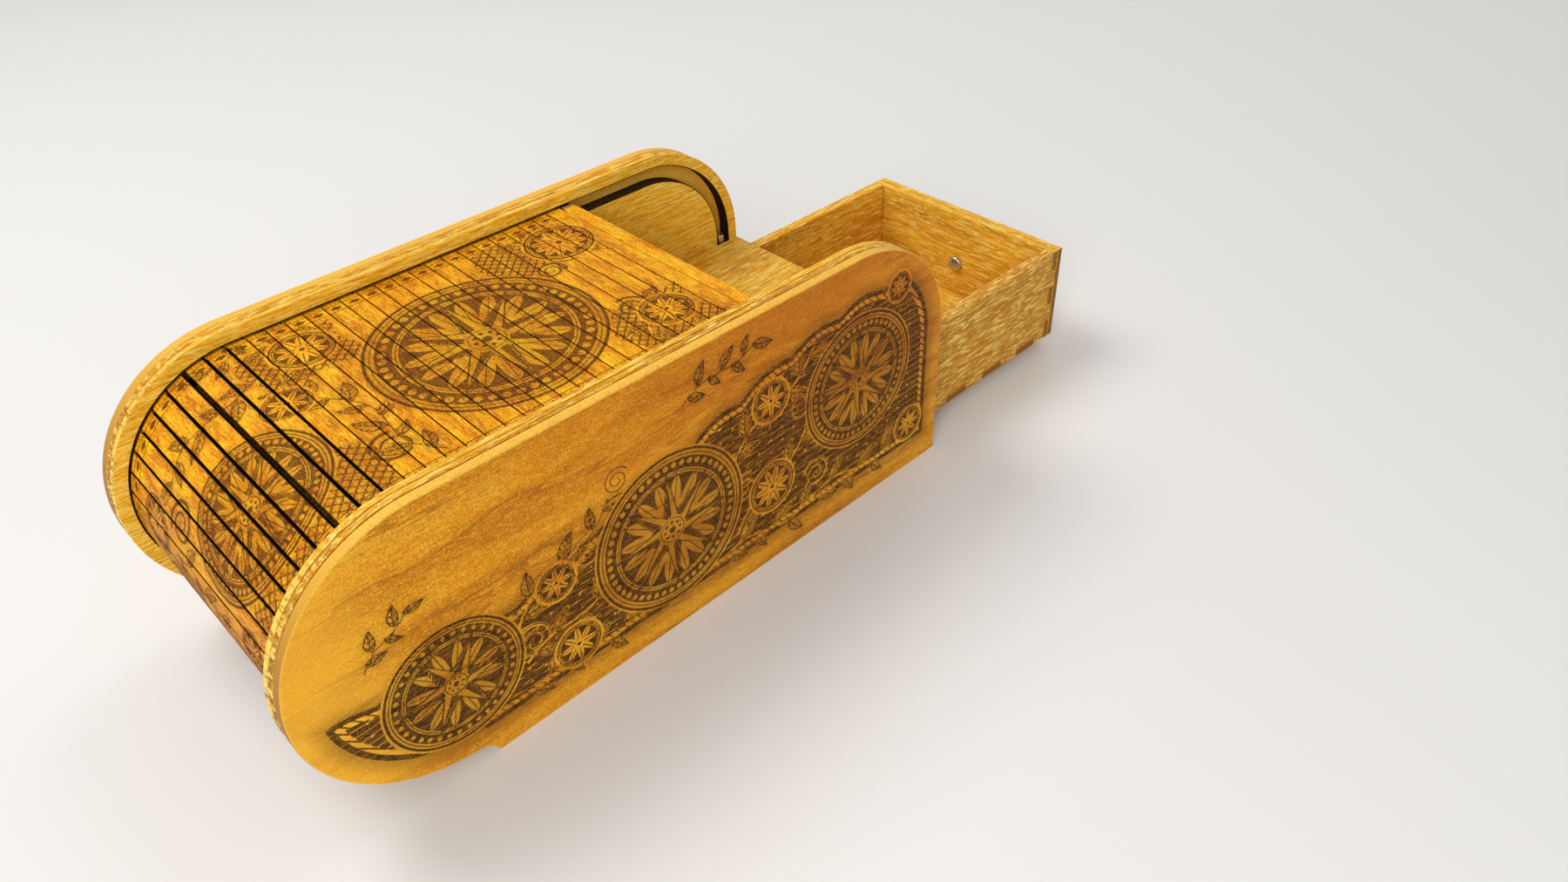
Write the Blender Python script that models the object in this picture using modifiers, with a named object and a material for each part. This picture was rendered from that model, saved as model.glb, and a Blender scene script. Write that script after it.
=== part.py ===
# Tambour pencil box: a wooden case with rounded ends, a slatted lid that slides in
# grooves round the left end, and a drawer below that is tied to the lid's tail.
# Metres, +Z up. The origin is under the middle of the case, on the plane it stands on.
# The case's length runs along X, its rounded left end towards -X, the drawer opens towards +X.

import math

import bmesh
import bpy
from mathutils import Matrix, Vector

# Case
CASE_LENGTH = 0.2300
CASE_WIDTH = 0.1090
CASE_HEIGHT = 0.0930
FOOT_STEP = 0.0050            # from the standing plane up to the left end's lowest point
RIGHT_EDGE = 0.0530           # height at which the right edge starts to curve
NOTCH_LEAD = 0.0040           # from the hollow's crown, before the foot, to the left end's middle
NOTCH_DIP = 0.0010            # from the standing plane down to the hollow's centre
ARC_STEP = math.radians(5.0)

# Side layers, from outside to inside: one skin and two liners
SKIN_THICKNESS = 0.0032
LINER_THICKNESS = 0.0021
GLUE_GAP = 0.0003

# Groove for the lid's tongues, cut through both liners
RIM_WIDTH = 0.0042
GROOVE_WIDTH = 0.0054
GROOVE_SINK = 0.0023          # its right end below the compartment's floor
GROOVE_PAST = 0.0136          # its bottom run beyond the drawer's back

# Inner boards
FLOOR_DROP = 0.0047           # compartment's floor below the start of the right curve
FLOOR_THICKNESS = 0.0045
END_WALL_PLACE = 0.0220       # from the left end to the wall's outer face
END_WALL_THICKNESS = 0.0030
END_WALL_CLEARANCE = 0.0015
BOARD_THICKNESS = 0.0044
BOARD_SETBACK = 0.0006        # bottom board behind the foot's corner

# Lid
CLOTH_DEPTH = 0.00825         # from the side's outline in to the line that the cloth bends on
CLOTH_THICKNESS = 0.0003
CLOTH_INSET = 0.0006          # cloth edge behind the slat's shoulder
SLAT_PITCH = 0.0056
SLAT_WIDTH = 0.0050
SLAT_HEIGHT = 0.0037
SLAT_LIFT = 0.00015           # underside of a slat over the cloth line
SHOULDER_CLEARANCE = 0.0004
TONGUE_HEIGHT = 0.0026
TONGUE_CLEARANCE = 0.0006
NOSE_WIDTH = 0.0048
TOP_RUN = 0.1150              # from the bend's top to the nose's leading edge
NOSE_TONGUE_WIDTH = 0.0028
NOSE_TONGUE_HEIGHT = 0.0024
NOSE_TONGUE_INSET = 0.0001
SEAM_AFTER = 22               # a slightly wider gap follows this slat
SEAM_EXTRA = 0.0006
BEND_STRIPS = 3               # strips of cloth that the slats in the bend are shared out on
FUSED_DEPTH = 0.0003          # how far a fused strip's cloth runs on each side of its line

# Drawer
DRAWER_OUT = 0.0844
DRAWER_LENGTH = 0.1780
DRAWER_BESIDE = 0.0011        # running gap to the liners
DRAWER_UNDER = 0.0004         # running gap over the bottom board
DRAWER_OVER = 0.0005          # running gap under the compartment's floor
DRAWER_SIDE = 0.0045
DRAWER_END = 0.0027
DRAWER_FACE = 0.0026
DRAWER_BASE = 0.0030
FINGER_COUNT = 5
TAB_FIRST = 0.0178            # from the drawer's outer face to the first tab's middle
TAB_PITCH = 0.02135
TAB_LENGTH = 0.0112
TAIL_WIDTH = 0.0052
TAIL_GAP = 0.0006             # between the tail bar and the last slat

# Knob and its screw
KNOB_RADIUS = 0.0060
KNOB_LENGTH = 0.0125
KNOB_NECK_RADIUS = 0.0036
KNOB_NECK_LENGTH = 0.0035
KNOB_BORE_DEPTH = 0.0070
KNOB_STEPS = 24
KNOB_BALL_STEPS = 8
KNOB_DROP = 0.00255           # knob axis below the drawer's middle
SHANK_RADIUS = 0.0014
SHANK_CLEARANCE = 0.0004
SHANK_REACH = 0.0050          # shank inside the knob
HEAD_RADIUS = 0.0030
HEAD_LENGTH = 0.0018
HEAD_EDGE = 0.0008
HEAD_STEPS = 4
SLOT_WIDTH = 0.0008
SLOT_DEPTH = 0.0008
SLOT_ANGLE = math.radians(40.0)

# Magnets
MAGNET_RADIUS = 0.0020
MAGNET_LENGTH = 0.0015
MAGNET_STEPS = 24

# How far the drawer and the lid travel together
LID_TRAVEL = 0.0310

CUT_OVERRUN = 0.0010
WELD = 0.000001

# Heights and depths that follow from the sizes above
LEFT = -CASE_LENGTH / 2
RIGHT = CASE_LENGTH / 2
HALF_WIDTH = CASE_WIDTH / 2
LEFT_RADIUS = (CASE_HEIGHT - FOOT_STEP) / 2
RIGHT_RADIUS = CASE_HEIGHT - RIGHT_EDGE
NOTCH_RADIUS = FOOT_STEP + NOTCH_DIP
BEND_X = LEFT + LEFT_RADIUS
BEND_Z = CASE_HEIGHT - LEFT_RADIUS
CORNER_X = RIGHT - RIGHT_RADIUS
CORNER_Z = RIGHT_EDGE
FLOOR_TOP = RIGHT_EDGE - FLOOR_DROP
SKIN_INSIDE = HALF_WIDTH - SKIN_THICKNESS
LINER_PITCH = LINER_THICKNESS + GLUE_GAP
INSIDE = SKIN_INSIDE - 2 * LINER_PITCH
CLOTH_HEIGHT = CASE_HEIGHT - CLOTH_DEPTH
CLOTH_RADIUS = LEFT_RADIUS - CLOTH_DEPTH
GROOVE_OUTER = LEFT_RADIUS - RIM_WIDTH
GROOVE_INNER = GROOVE_OUTER - GROOVE_WIDTH
TONGUE_REACH = SKIN_INSIDE - TONGUE_CLEARANCE
SHOULDER_REACH = INSIDE - SHOULDER_CLEARANCE
DRAWER_WIDTH = 2 * (INSIDE - DRAWER_BESIDE)
DRAWER_BOTTOM = BOARD_THICKNESS + DRAWER_UNDER
DRAWER_TOP = FLOOR_TOP - FLOOR_THICKNESS - DRAWER_OVER
DRAWER_FRONT_X = RIGHT + DRAWER_OUT
DRAWER_BACK_X = DRAWER_FRONT_X - DRAWER_LENGTH
KNOB_HEIGHT = (DRAWER_BOTTOM + DRAWER_TOP) / 2 - KNOB_DROP
GROOVE_FOOT = FLOOR_TOP - GROOVE_SINK

# A curve drawn in its own X and Y, stood up with Y along Z, or set across the case
UPRIGHT = Matrix.Rotation(math.radians(90), 4, "X")
ACROSS = Matrix.Rotation(math.radians(90), 4, "Z") @ UPRIGHT


def clear_scene():
    for item in list(bpy.data.objects):
        bpy.data.objects.remove(item, do_unlink=True)


def new_collection(name):
    group = bpy.data.collections.new(name)
    bpy.context.scene.collection.children.link(group)
    return group


def linear(level):
    """One display level from 0 to 255 as scene-linear light."""
    share = level / 255
    return share / 12.92 if share <= 0.04045 else ((share + 0.055) / 1.055) ** 2.4


def new_material(name, levels, roughness, metallic=0.0):
    material = bpy.data.materials.new(name)
    material.use_nodes = True
    shader = material.node_tree.nodes["Principled BSDF"]
    shader.inputs["Base Color"].default_value = (*[linear(level) for level in levels], 1.0)
    shader.inputs["Roughness"].default_value = roughness
    shader.inputs["Metallic"].default_value = metallic
    material.diffuse_color = shader.inputs["Base Color"].default_value
    return material


def place(item, group, material, matrix=None):
    if item.name not in group.objects:
        for owner in list(item.users_collection):
            owner.objects.unlink(item)
        group.objects.link(item)
    if item.data.materials:
        item.data.materials[0] = material
    else:
        item.data.materials.append(material)
    if matrix is not None:
        item.matrix_world = matrix
    return item


def flat_piece(name, outlines, thickness, matrix, group, material):
    """A flat piece from its outline, and any holes, as a filled 2D curve."""
    curve = bpy.data.curves.new(name, "CURVE")
    curve.dimensions = "2D"
    curve.fill_mode = "BOTH"
    curve.extrude = thickness / 2
    for outline in outlines:
        spline = curve.splines.new("POLY")
        spline.points.add(len(outline) - 1)
        for point, (across, along) in zip(spline.points, outline):
            point.co = (across, along, 0.0, 1.0)
        spline.use_cyclic_u = True
    item = bpy.data.objects.new(name, curve)
    return place(item, group, material, matrix)


def box_piece(name, low, high, group, material):
    """A plain board between two corners."""
    low, high = Vector(low), Vector(high)
    size = high - low
    mesh = bpy.data.meshes.new(name)
    build = bmesh.new()
    bmesh.ops.create_cube(build, size=1.0)
    bmesh.ops.scale(build, vec=size, verts=build.verts)
    build.to_mesh(mesh)
    build.free()
    item = bpy.data.objects.new(name, mesh)
    return place(item, group, material, Matrix.Translation((low + high) / 2))


def turned_piece(name, profile, steps, matrix, group, material):
    """A turned piece: the profile's (radius, height) points, top to bottom, spun about Z."""
    mesh = bpy.data.meshes.new(name)
    points = [(radius, 0.0, height) for radius, height in profile]
    edges = [(index, index + 1) for index in range(len(points) - 1)]
    mesh.from_pydata(points, edges, [])
    item = bpy.data.objects.new(name, mesh)
    spin = item.modifiers.new("spin", "SCREW")
    spin.axis = "Z"
    spin.steps = steps
    spin.render_steps = steps
    spin.use_merge_vertices = True
    spin.merge_threshold = WELD
    spin.use_smooth_shade = True
    return place(item, group, material, matrix)


def as_mesh(item):
    """Swap a curve for its welded mesh, in the same place and with the same name."""
    bpy.context.view_layer.update()
    graph = bpy.context.evaluated_depsgraph_get()
    mesh = bpy.data.meshes.new_from_object(item.evaluated_get(graph))
    build = bmesh.new()
    build.from_mesh(mesh)
    bmesh.ops.remove_doubles(build, verts=build.verts, dist=WELD)
    build.to_mesh(mesh)
    build.free()
    name, group, matrix = item.name, item.users_collection[0], item.matrix_world.copy()
    bpy.data.objects.remove(item, do_unlink=True)
    solid = bpy.data.objects.new(name, mesh)
    group.objects.link(solid)
    solid.matrix_world = matrix
    return solid


def combine(item, other, operation, group):
    """Add a Boolean modifier to the item, and keep the other as a hidden guide."""
    change = item.modifiers.new(other.name, "BOOLEAN")
    change.operation = operation
    change.object = other
    if other.name not in group.objects:
        for owner in list(other.users_collection):
            owner.objects.unlink(other)
        group.objects.link(other)
    other.hide_render = True
    other.display_type = "WIRE"


def hang(item, empty):
    """Parent the item to an empty and keep it where it is."""
    bpy.context.view_layer.update()
    item.parent = empty
    item.matrix_parent_inverse = empty.matrix_world.inverted()


def new_empty(name, group, point):
    empty = bpy.data.objects.new(name, None)
    group.objects.link(empty)
    empty.location = point
    empty.empty_display_size = SLAT_PITCH
    return empty


def arc(centre_x, centre_z, radius, start, stop):
    """Points along an arc, from one angle to another, both ends included."""
    count = max(2, math.ceil(abs(stop - start) / ARC_STEP))
    angles = [start + (stop - start) * index / count for index in range(count + 1)]
    return [(centre_x + radius * math.cos(a), centre_z + radius * math.sin(a)) for a in angles]


def foot_corner():
    """Where the hollow before the foot meets the standing plane."""
    crown_x = BEND_X - NOTCH_LEAD
    crown_z = BEND_Z - math.sqrt(LEFT_RADIUS ** 2 - (crown_x - BEND_X) ** 2)
    hollow_z = crown_z - NOTCH_RADIUS
    return crown_x, hollow_z, crown_x + math.sqrt(NOTCH_RADIUS ** 2 - hollow_z ** 2)


def side_outline():
    """The side's outline: foot, right edge, right corner, top, left end and hollow."""
    crown_x, hollow_z, corner_x = foot_corner()
    quarter = math.pi / 2
    meet = math.atan2(hollow_z + NOTCH_RADIUS - BEND_Z, crown_x - BEND_X) + 2 * math.pi
    points = [(corner_x, 0.0), (RIGHT, 0.0)]
    points += arc(CORNER_X, CORNER_Z, RIGHT_RADIUS, 0.0, quarter)
    points += arc(BEND_X, BEND_Z, LEFT_RADIUS, quarter, meet)
    hollow = arc(crown_x, hollow_z, NOTCH_RADIUS, quarter, math.asin(-hollow_z / NOTCH_RADIUS))
    return points + hollow[1:-1]


def groove_outline():
    """The groove: up from its right end, round the corner, along the top, round the left
    end and back along the bottom, then the same way back on its inner edge."""
    quarter = math.pi / 2
    right_outer = RIGHT_RADIUS - RIM_WIDTH
    right_inner = right_outer - GROOVE_WIDTH
    tail_x = DRAWER_BACK_X + GROOVE_PAST
    points = [(CORNER_X + right_outer, GROOVE_FOOT)]
    points += arc(CORNER_X, CORNER_Z, right_outer, 0.0, quarter)
    points += arc(BEND_X, BEND_Z, GROOVE_OUTER, quarter, 3 * quarter)
    points += [(tail_x, BEND_Z - GROOVE_OUTER), (tail_x, BEND_Z - GROOVE_INNER)]
    points += arc(BEND_X, BEND_Z, GROOVE_INNER, 3 * quarter, quarter)
    points += arc(CORNER_X, CORNER_Z, right_inner, quarter, 0.0)
    return points + [(CORNER_X + right_inner, GROOVE_FOOT)]


def make_sides(group, skin, oak, steel):
    """Skins, liners and the magnets at the grooves' right ends."""
    outline, groove = side_outline(), groove_outline()
    magnet_x = RIGHT - RIM_WIDTH - GROOVE_WIDTH / 2
    magnet_y = (SKIN_INSIDE + INSIDE) / 2
    magnet_z = GROOVE_FOOT + GLUE_GAP
    for side, sign in (("near", -1), ("far", 1)):
        depth = sign * (HALF_WIDTH - SKIN_THICKNESS / 2)
        stand = Matrix.Translation((0.0, depth, 0.0)) @ UPRIGHT
        flat_piece(f"{side}_skin", [outline], SKIN_THICKNESS, stand, group, skin)
        for index, layer in enumerate(("outer", "inner")):
            depth = sign * (SKIN_INSIDE - index * LINER_PITCH - GLUE_GAP - LINER_THICKNESS / 2)
            stand = Matrix.Translation((0.0, depth, 0.0)) @ UPRIGHT
            name = f"{side}_liner_{layer}"
            flat_piece(name, [outline, groove], LINER_THICKNESS, stand, group, oak)
        stand = Matrix.Translation((magnet_x, sign * magnet_y, magnet_z))
        disc = [(0.0, MAGNET_LENGTH), (MAGNET_RADIUS, MAGNET_LENGTH), (MAGNET_RADIUS, 0.0), (0.0, 0.0)]
        turned_piece(f"{side}_groove_magnet", disc, MAGNET_STEPS, stand, group, steel)


def end_wall_top():
    """The wall stops short of the cloth where it bends over it."""
    reach = CLOTH_RADIUS - CLOTH_THICKNESS - END_WALL_CLEARANCE
    across = BEND_X - (LEFT + END_WALL_PLACE)
    return BEND_Z + math.sqrt(reach ** 2 - across ** 2)


def make_boards(group, oak):
    """The compartment's floor and end wall, and the bottom board."""
    half = INSIDE - GLUE_GAP
    wall_x = LEFT + END_WALL_PLACE
    floor_x = wall_x + END_WALL_THICKNESS + GLUE_GAP
    floor_z = FLOOR_TOP - FLOOR_THICKNESS
    board_x = foot_corner()[2] + BOARD_SETBACK
    wall_high = (wall_x + END_WALL_THICKNESS, half, end_wall_top())
    box_piece("end_wall", (wall_x, -half, floor_z), wall_high, group, oak)
    box_piece("compartment_floor", (floor_x, -half, floor_z), (RIGHT, half, FLOOR_TOP), group, oak)
    box_piece("bottom_board", (board_x, -half, 0.0), (RIGHT, half, BOARD_THICKNESS), group, oak)


def lid_place(run):
    """The point and the turn of a slat on the cloth line, from its run past the bend's top."""
    half_turn = math.pi * CLOTH_RADIUS
    if run >= 0.0:
        return Vector((BEND_X + run, 0.0, BEND_Z + CLOTH_RADIUS)), 0.0
    if run > -half_turn:
        turn = -run / CLOTH_RADIUS
        away = Vector((-math.sin(turn), 0.0, math.cos(turn))) * CLOTH_RADIUS
        return Vector((BEND_X, 0.0, BEND_Z)) + away, turn
    return Vector((BEND_X - run - half_turn, 0.0, BEND_Z - CLOTH_RADIUS)), math.pi


def slat_matrix(point, turn):
    return Matrix.Translation(point) @ Matrix.Rotation(-turn, 4, "Y")


def turning_point(run):
    """The pivot that carries a slat from its rest place to the end of its travel."""
    start, first = lid_place(run)
    stop, last = lid_place(run + LID_TRAVEL)
    turn = last - first
    middle = (start + stop) / 2
    chord = stop - start
    side = Vector((-chord.z, 0.0, chord.x))
    return middle + side / (2 * math.tan(turn / 2)), turn


def slat_outline():
    """Across the slat: shoulders under the rims' edges and a tongue into each groove."""
    low = SLAT_LIFT
    step = SLAT_LIFT + TONGUE_HEIGHT
    top = SLAT_LIFT + SLAT_HEIGHT
    right = [(TONGUE_REACH, low), (TONGUE_REACH, step), (SHOULDER_REACH, step), (SHOULDER_REACH, top)]
    return right + [(-across, height) for across, height in reversed(right)]


def make_slat(name, run, width, group, material):
    point, turn = lid_place(run)
    matrix = slat_matrix(point, turn) @ ACROSS
    return flat_piece(name, [slat_outline()], width, matrix, group, material)


def make_nose(run, group, guides, wood, steel):
    """The leading slat, with short tongues and a magnet in front of each."""
    point, _ = lid_place(run)
    front = point.x + NOSE_WIDTH / 2
    back = point.x - NOSE_WIDTH / 2
    low = point.z + SLAT_LIFT
    corner = (back, -SHOULDER_REACH, low)
    nose = box_piece("nose_slat", corner, (front, SHOULDER_REACH, low + SLAT_HEIGHT), group, wood)
    tongue_low = low + (TONGUE_HEIGHT - NOSE_TONGUE_HEIGHT)
    tongue_back = back + NOSE_TONGUE_INSET
    corner = (tongue_back, -TONGUE_REACH, tongue_low)
    top = (tongue_back + NOSE_TONGUE_WIDTH, TONGUE_REACH, tongue_low + NOSE_TONGUE_HEIGHT)
    combine(nose, box_piece("nose_tongues", corner, top, group, wood), "UNION", guides)
    for side, sign in (("near", -1), ("far", 1)):
        reach = sign * (SKIN_INSIDE + INSIDE) / 2
        height = BEND_Z + (GROOVE_OUTER + GROOVE_INNER) / 2
        place_x = tongue_back + NOSE_TONGUE_WIDTH + GLUE_GAP
        stand = Matrix.Translation((place_x, reach, height)) @ Matrix.Rotation(math.pi / 2, 4, "Y")
        disc = [(0.0, MAGNET_LENGTH), (MAGNET_RADIUS, MAGNET_LENGTH), (MAGNET_RADIUS, 0.0), (0.0, 0.0)]
        turned_piece(f"{side}_nose_magnet", disc, MAGNET_STEPS, stand, group, steel)


def strip_outline(start, stop):
    """A strip of cloth seen from the side, between two runs along its line."""
    bend = lid_place(stop)[1] - lid_place(start)[1]
    count = max(1, math.ceil(bend / ARC_STEP))
    outer, inner = [], []
    for index in range(count + 1):
        point, turn = lid_place(start + (stop - start) * index / count)
        normal = Vector((-math.sin(turn), 0.0, math.cos(turn)))
        above = point + normal * FUSED_DEPTH
        below = point - normal * FUSED_DEPTH
        outer.append((above.x, above.z))
        inner.append((below.x, below.z))
    return outer + inner[::-1]


def make_curtain(name, runs, group, guides, wood):
    """Several slats and the cloth under them as one strip."""
    half = SLAT_WIDTH / 2 - CLOTH_INSET
    outline = strip_outline(runs[0] + half, runs[-1] - half)
    width = 2 * (SHOULDER_REACH - CLOTH_INSET)
    strip = as_mesh(flat_piece(name, [outline], width, UPRIGHT, group, wood))
    place(strip, group, wood)
    for index, run in enumerate(runs):
        slat = as_mesh(make_slat(f"{name}_slat_{index + 1}", run, SLAT_WIDTH, group, wood))
        combine(strip, slat, "UNION", guides)
    return strip


def lid_runs():
    """The middle of every slat as a run along the cloth, from the nose to the last one."""
    runs = [TOP_RUN - NOSE_WIDTH / 2]
    gap = SLAT_PITCH - SLAT_WIDTH
    runs.append(runs[0] - NOSE_WIDTH / 2 - gap - SLAT_WIDTH / 2)
    last_x = DRAWER_BACK_X - GLUE_GAP - TAIL_WIDTH - TAIL_GAP - SLAT_WIDTH / 2
    last = -(last_x - BEND_X) - math.pi * CLOTH_RADIUS
    while True:
        step = SLAT_PITCH + (SEAM_EXTRA if len(runs) == SEAM_AFTER + 1 else 0.0)
        if runs[-1] - step < last:
            return runs
        runs.append(runs[-1] - step)


def make_lid(group, guides, wood, cloth, steel):
    """The lid: top run, slats that pass in and out of the bend, bend and bottom run."""
    half_turn = math.pi * CLOTH_RADIUS
    runs = lid_runs()
    make_nose(runs[0], group, guides, wood, steel)
    top = [run for run in runs[1:] if run >= 0.0]
    upper = [run for run in runs if -LID_TRAVEL < run < 0.0]
    bend = [run for run in runs if -half_turn < run <= -LID_TRAVEL]
    lower = [run for run in runs if -half_turn - LID_TRAVEL < run <= -half_turn]
    bottom = [run for run in runs if run <= -half_turn - LID_TRAVEL]
    for index, run in enumerate(top):
        make_slat(f"top_slat_{index + 1:02d}", run, SLAT_WIDTH, group, wood)
    for kind, members in (("upper", upper), ("lower", lower)):
        for index, run in enumerate(members):
            name = f"{kind}_slat_{index + 1}"
            pivot = new_empty(f"{name}_pivot", group, turning_point(run)[0])
            hang(make_slat(name, run, SLAT_WIDTH, group, wood), pivot)
    axle = new_empty("bend_pivot", group, (BEND_X, 0.0, BEND_Z))
    for index in range(BEND_STRIPS):
        first = len(bend) * index // BEND_STRIPS
        after = len(bend) * (index + 1) // BEND_STRIPS
        strip = make_curtain(f"bend_curtain_{index + 1}", bend[first:after], group, guides, wood)
        hang(strip, axle)
    make_curtain("bottom_curtain", bottom, group, guides, wood)
    cloth_top = CLOTH_HEIGHT - CLOTH_THICKNESS / 2
    edge = SHOULDER_REACH - CLOTH_INSET
    back = BEND_X + top[-1] - SLAT_WIDTH / 2
    front = BEND_X + runs[0] + NOSE_WIDTH / 2 - CLOTH_INSET
    corner = (back, -edge, cloth_top - CLOTH_THICKNESS)
    box_piece("lid_cloth", corner, (front, edge, cloth_top), group, cloth)


def finger_levels():
    """The heights at which the drawer's corner fingers change over."""
    height = (DRAWER_TOP - DRAWER_BOTTOM) / FINGER_COUNT
    return [DRAWER_BOTTOM + height * index for index in range(FINGER_COUNT + 1)]


def end_outline():
    """A drawer end across the drawer: wide at every other finger, from the lowest one."""
    wide = DRAWER_WIDTH / 2
    narrow = wide - DRAWER_SIDE - GLUE_GAP
    levels = finger_levels()
    right = []
    for index in range(FINGER_COUNT):
        is_finger = index % 2 == 0
        reach = wide if is_finger else narrow
        inset = GLUE_GAP / 2 if is_finger else -GLUE_GAP / 2
        low = levels[index] + (inset if index > 0 else 0.0)
        high = levels[index + 1] - (inset if index < FINGER_COUNT - 1 else 0.0)
        right += [(reach, low), (reach, high)]
    return right + [(-across, height) for across, height in reversed(right)]


def tab_places():
    """The middles of the drawer bottom's tabs, from the front backwards."""
    places = []
    place_x = DRAWER_FRONT_X - TAB_FIRST
    while place_x - TAB_LENGTH / 2 > DRAWER_BACK_X + DRAWER_END + TAB_LENGTH / 2:
        places.append(place_x)
        place_x -= TAB_PITCH
    return places


def drawer_side_outline():
    """A drawer side: fingers at both ends and a notch over every tab of the bottom."""
    front = DRAWER_FRONT_X - DRAWER_FACE - GLUE_GAP
    short_front = front - DRAWER_END - GLUE_GAP
    short_back = DRAWER_BACK_X + DRAWER_END + GLUE_GAP
    notch_top = DRAWER_BOTTOM + DRAWER_BASE + GLUE_GAP
    levels = finger_levels()
    points = []
    for centre in reversed(tab_places()):
        reach = TAB_LENGTH / 2 + GLUE_GAP / 2
        points += [(centre - reach, DRAWER_BOTTOM), (centre - reach, notch_top)]
        points += [(centre + reach, notch_top), (centre + reach, DRAWER_BOTTOM)]
    edge = [(short_front, DRAWER_BOTTOM)]
    for index in range(1, FINGER_COUNT, 2):
        low, high = levels[index] + GLUE_GAP / 2, levels[index + 1] - GLUE_GAP / 2
        edge += [(short_front, low), (front, low), (front, high), (short_front, high)]
    edge.append((short_front, DRAWER_TOP))
    back = [(short_back if x == short_front else DRAWER_BACK_X, z) for x, z in reversed(edge)]
    return points + edge + back


def drawer_bottom_outline():
    """The drawer's bottom from above, with its tabs through both sides."""
    wide = DRAWER_WIDTH / 2
    narrow = wide - DRAWER_SIDE - GLUE_GAP
    back = DRAWER_BACK_X + DRAWER_END + GLUE_GAP
    front = DRAWER_FRONT_X - DRAWER_FACE - DRAWER_END - 2 * GLUE_GAP
    far = [(front, narrow)]
    for centre in tab_places():
        ahead, behind = centre + TAB_LENGTH / 2, centre - TAB_LENGTH / 2
        far += [(ahead, narrow), (ahead, wide), (behind, wide), (behind, narrow)]
    far.append((back, narrow))
    return far + [(x, -y) for x, y in reversed(far)]


def circle(centre, radius, steps):
    angles = [2 * math.pi * index / steps for index in range(steps)]
    return [(centre[0] + radius * math.cos(a), centre[1] + radius * math.sin(a)) for a in angles]


def make_drawer(group, guides, oak, knob_wood, steel):
    """The drawer's boards, its knob and screw, and the bar that the lid's tail hangs on."""
    wide = DRAWER_WIDTH / 2
    screw_hole = circle((0.0, KNOB_HEIGHT), SHANK_RADIUS + SHANK_CLEARANCE, MAGNET_STEPS)
    face = [(-wide, DRAWER_BOTTOM), (wide, DRAWER_BOTTOM), (wide, DRAWER_TOP), (-wide, DRAWER_TOP)]
    face_x = DRAWER_FRONT_X - DRAWER_FACE / 2
    stand = Matrix.Translation((face_x, 0.0, 0.0)) @ ACROSS
    flat_piece("drawer_face", [face, screw_hole], DRAWER_FACE, stand, group, oak)
    front_x = DRAWER_FRONT_X - DRAWER_FACE - GLUE_GAP - DRAWER_END / 2
    stand = Matrix.Translation((front_x, 0.0, 0.0)) @ ACROSS
    flat_piece("drawer_front", [end_outline(), screw_hole], DRAWER_END, stand, group, oak)
    stand = Matrix.Translation((DRAWER_BACK_X + DRAWER_END / 2, 0.0, 0.0)) @ ACROSS
    flat_piece("drawer_back", [end_outline()], DRAWER_END, stand, group, oak)
    for side, sign in (("near", -1), ("far", 1)):
        depth = sign * (wide - DRAWER_SIDE / 2)
        stand = Matrix.Translation((0.0, depth, 0.0)) @ UPRIGHT
        flat_piece(f"drawer_side_{side}", [drawer_side_outline()], DRAWER_SIDE, stand, group, oak)
    stand = Matrix.Translation((0.0, 0.0, DRAWER_BOTTOM + DRAWER_BASE / 2))
    flat_piece("drawer_bottom", [drawer_bottom_outline()], DRAWER_BASE, stand, group, oak)
    tail_x = DRAWER_BACK_X - GLUE_GAP - TAIL_WIDTH / 2
    tail_point = Vector((tail_x, 0.0, BEND_Z - CLOTH_RADIUS))
    stand = slat_matrix(tail_point, math.pi) @ ACROSS
    flat_piece("tail_bar", [slat_outline()], TAIL_WIDTH, stand, group, oak)
    make_knob(group, knob_wood)
    make_screw(group, guides, steel, front_x - DRAWER_END / 2)


def make_knob(group, wood):
    """A turned knob on the drawer's face: foot, neck and round head, with a blind bore."""
    bore = SHANK_RADIUS + SHANK_CLEARANCE
    waist = KNOB_NECK_RADIUS
    ball_length = KNOB_LENGTH - KNOB_NECK_LENGTH
    profile = [(0.0, KNOB_LENGTH)]
    for index in range(1, KNOB_BALL_STEPS):
        angle = math.pi * index / KNOB_BALL_STEPS
        height = KNOB_LENGTH - ball_length / 2 * (1 - math.cos(angle))
        profile.append((KNOB_RADIUS * math.sin(angle), height))
    profile += [(waist, KNOB_NECK_LENGTH), (waist, 0.0), (bore, 0.0)]
    profile += [(bore, KNOB_BORE_DEPTH), (0.0, KNOB_BORE_DEPTH)]
    place_x = DRAWER_FRONT_X + GLUE_GAP
    stand = Matrix.Translation((place_x, 0.0, KNOB_HEIGHT)) @ Matrix.Rotation(math.pi / 2, 4, "Y")
    turned_piece("drawer_knob", profile, KNOB_STEPS, stand, group, wood)


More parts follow.
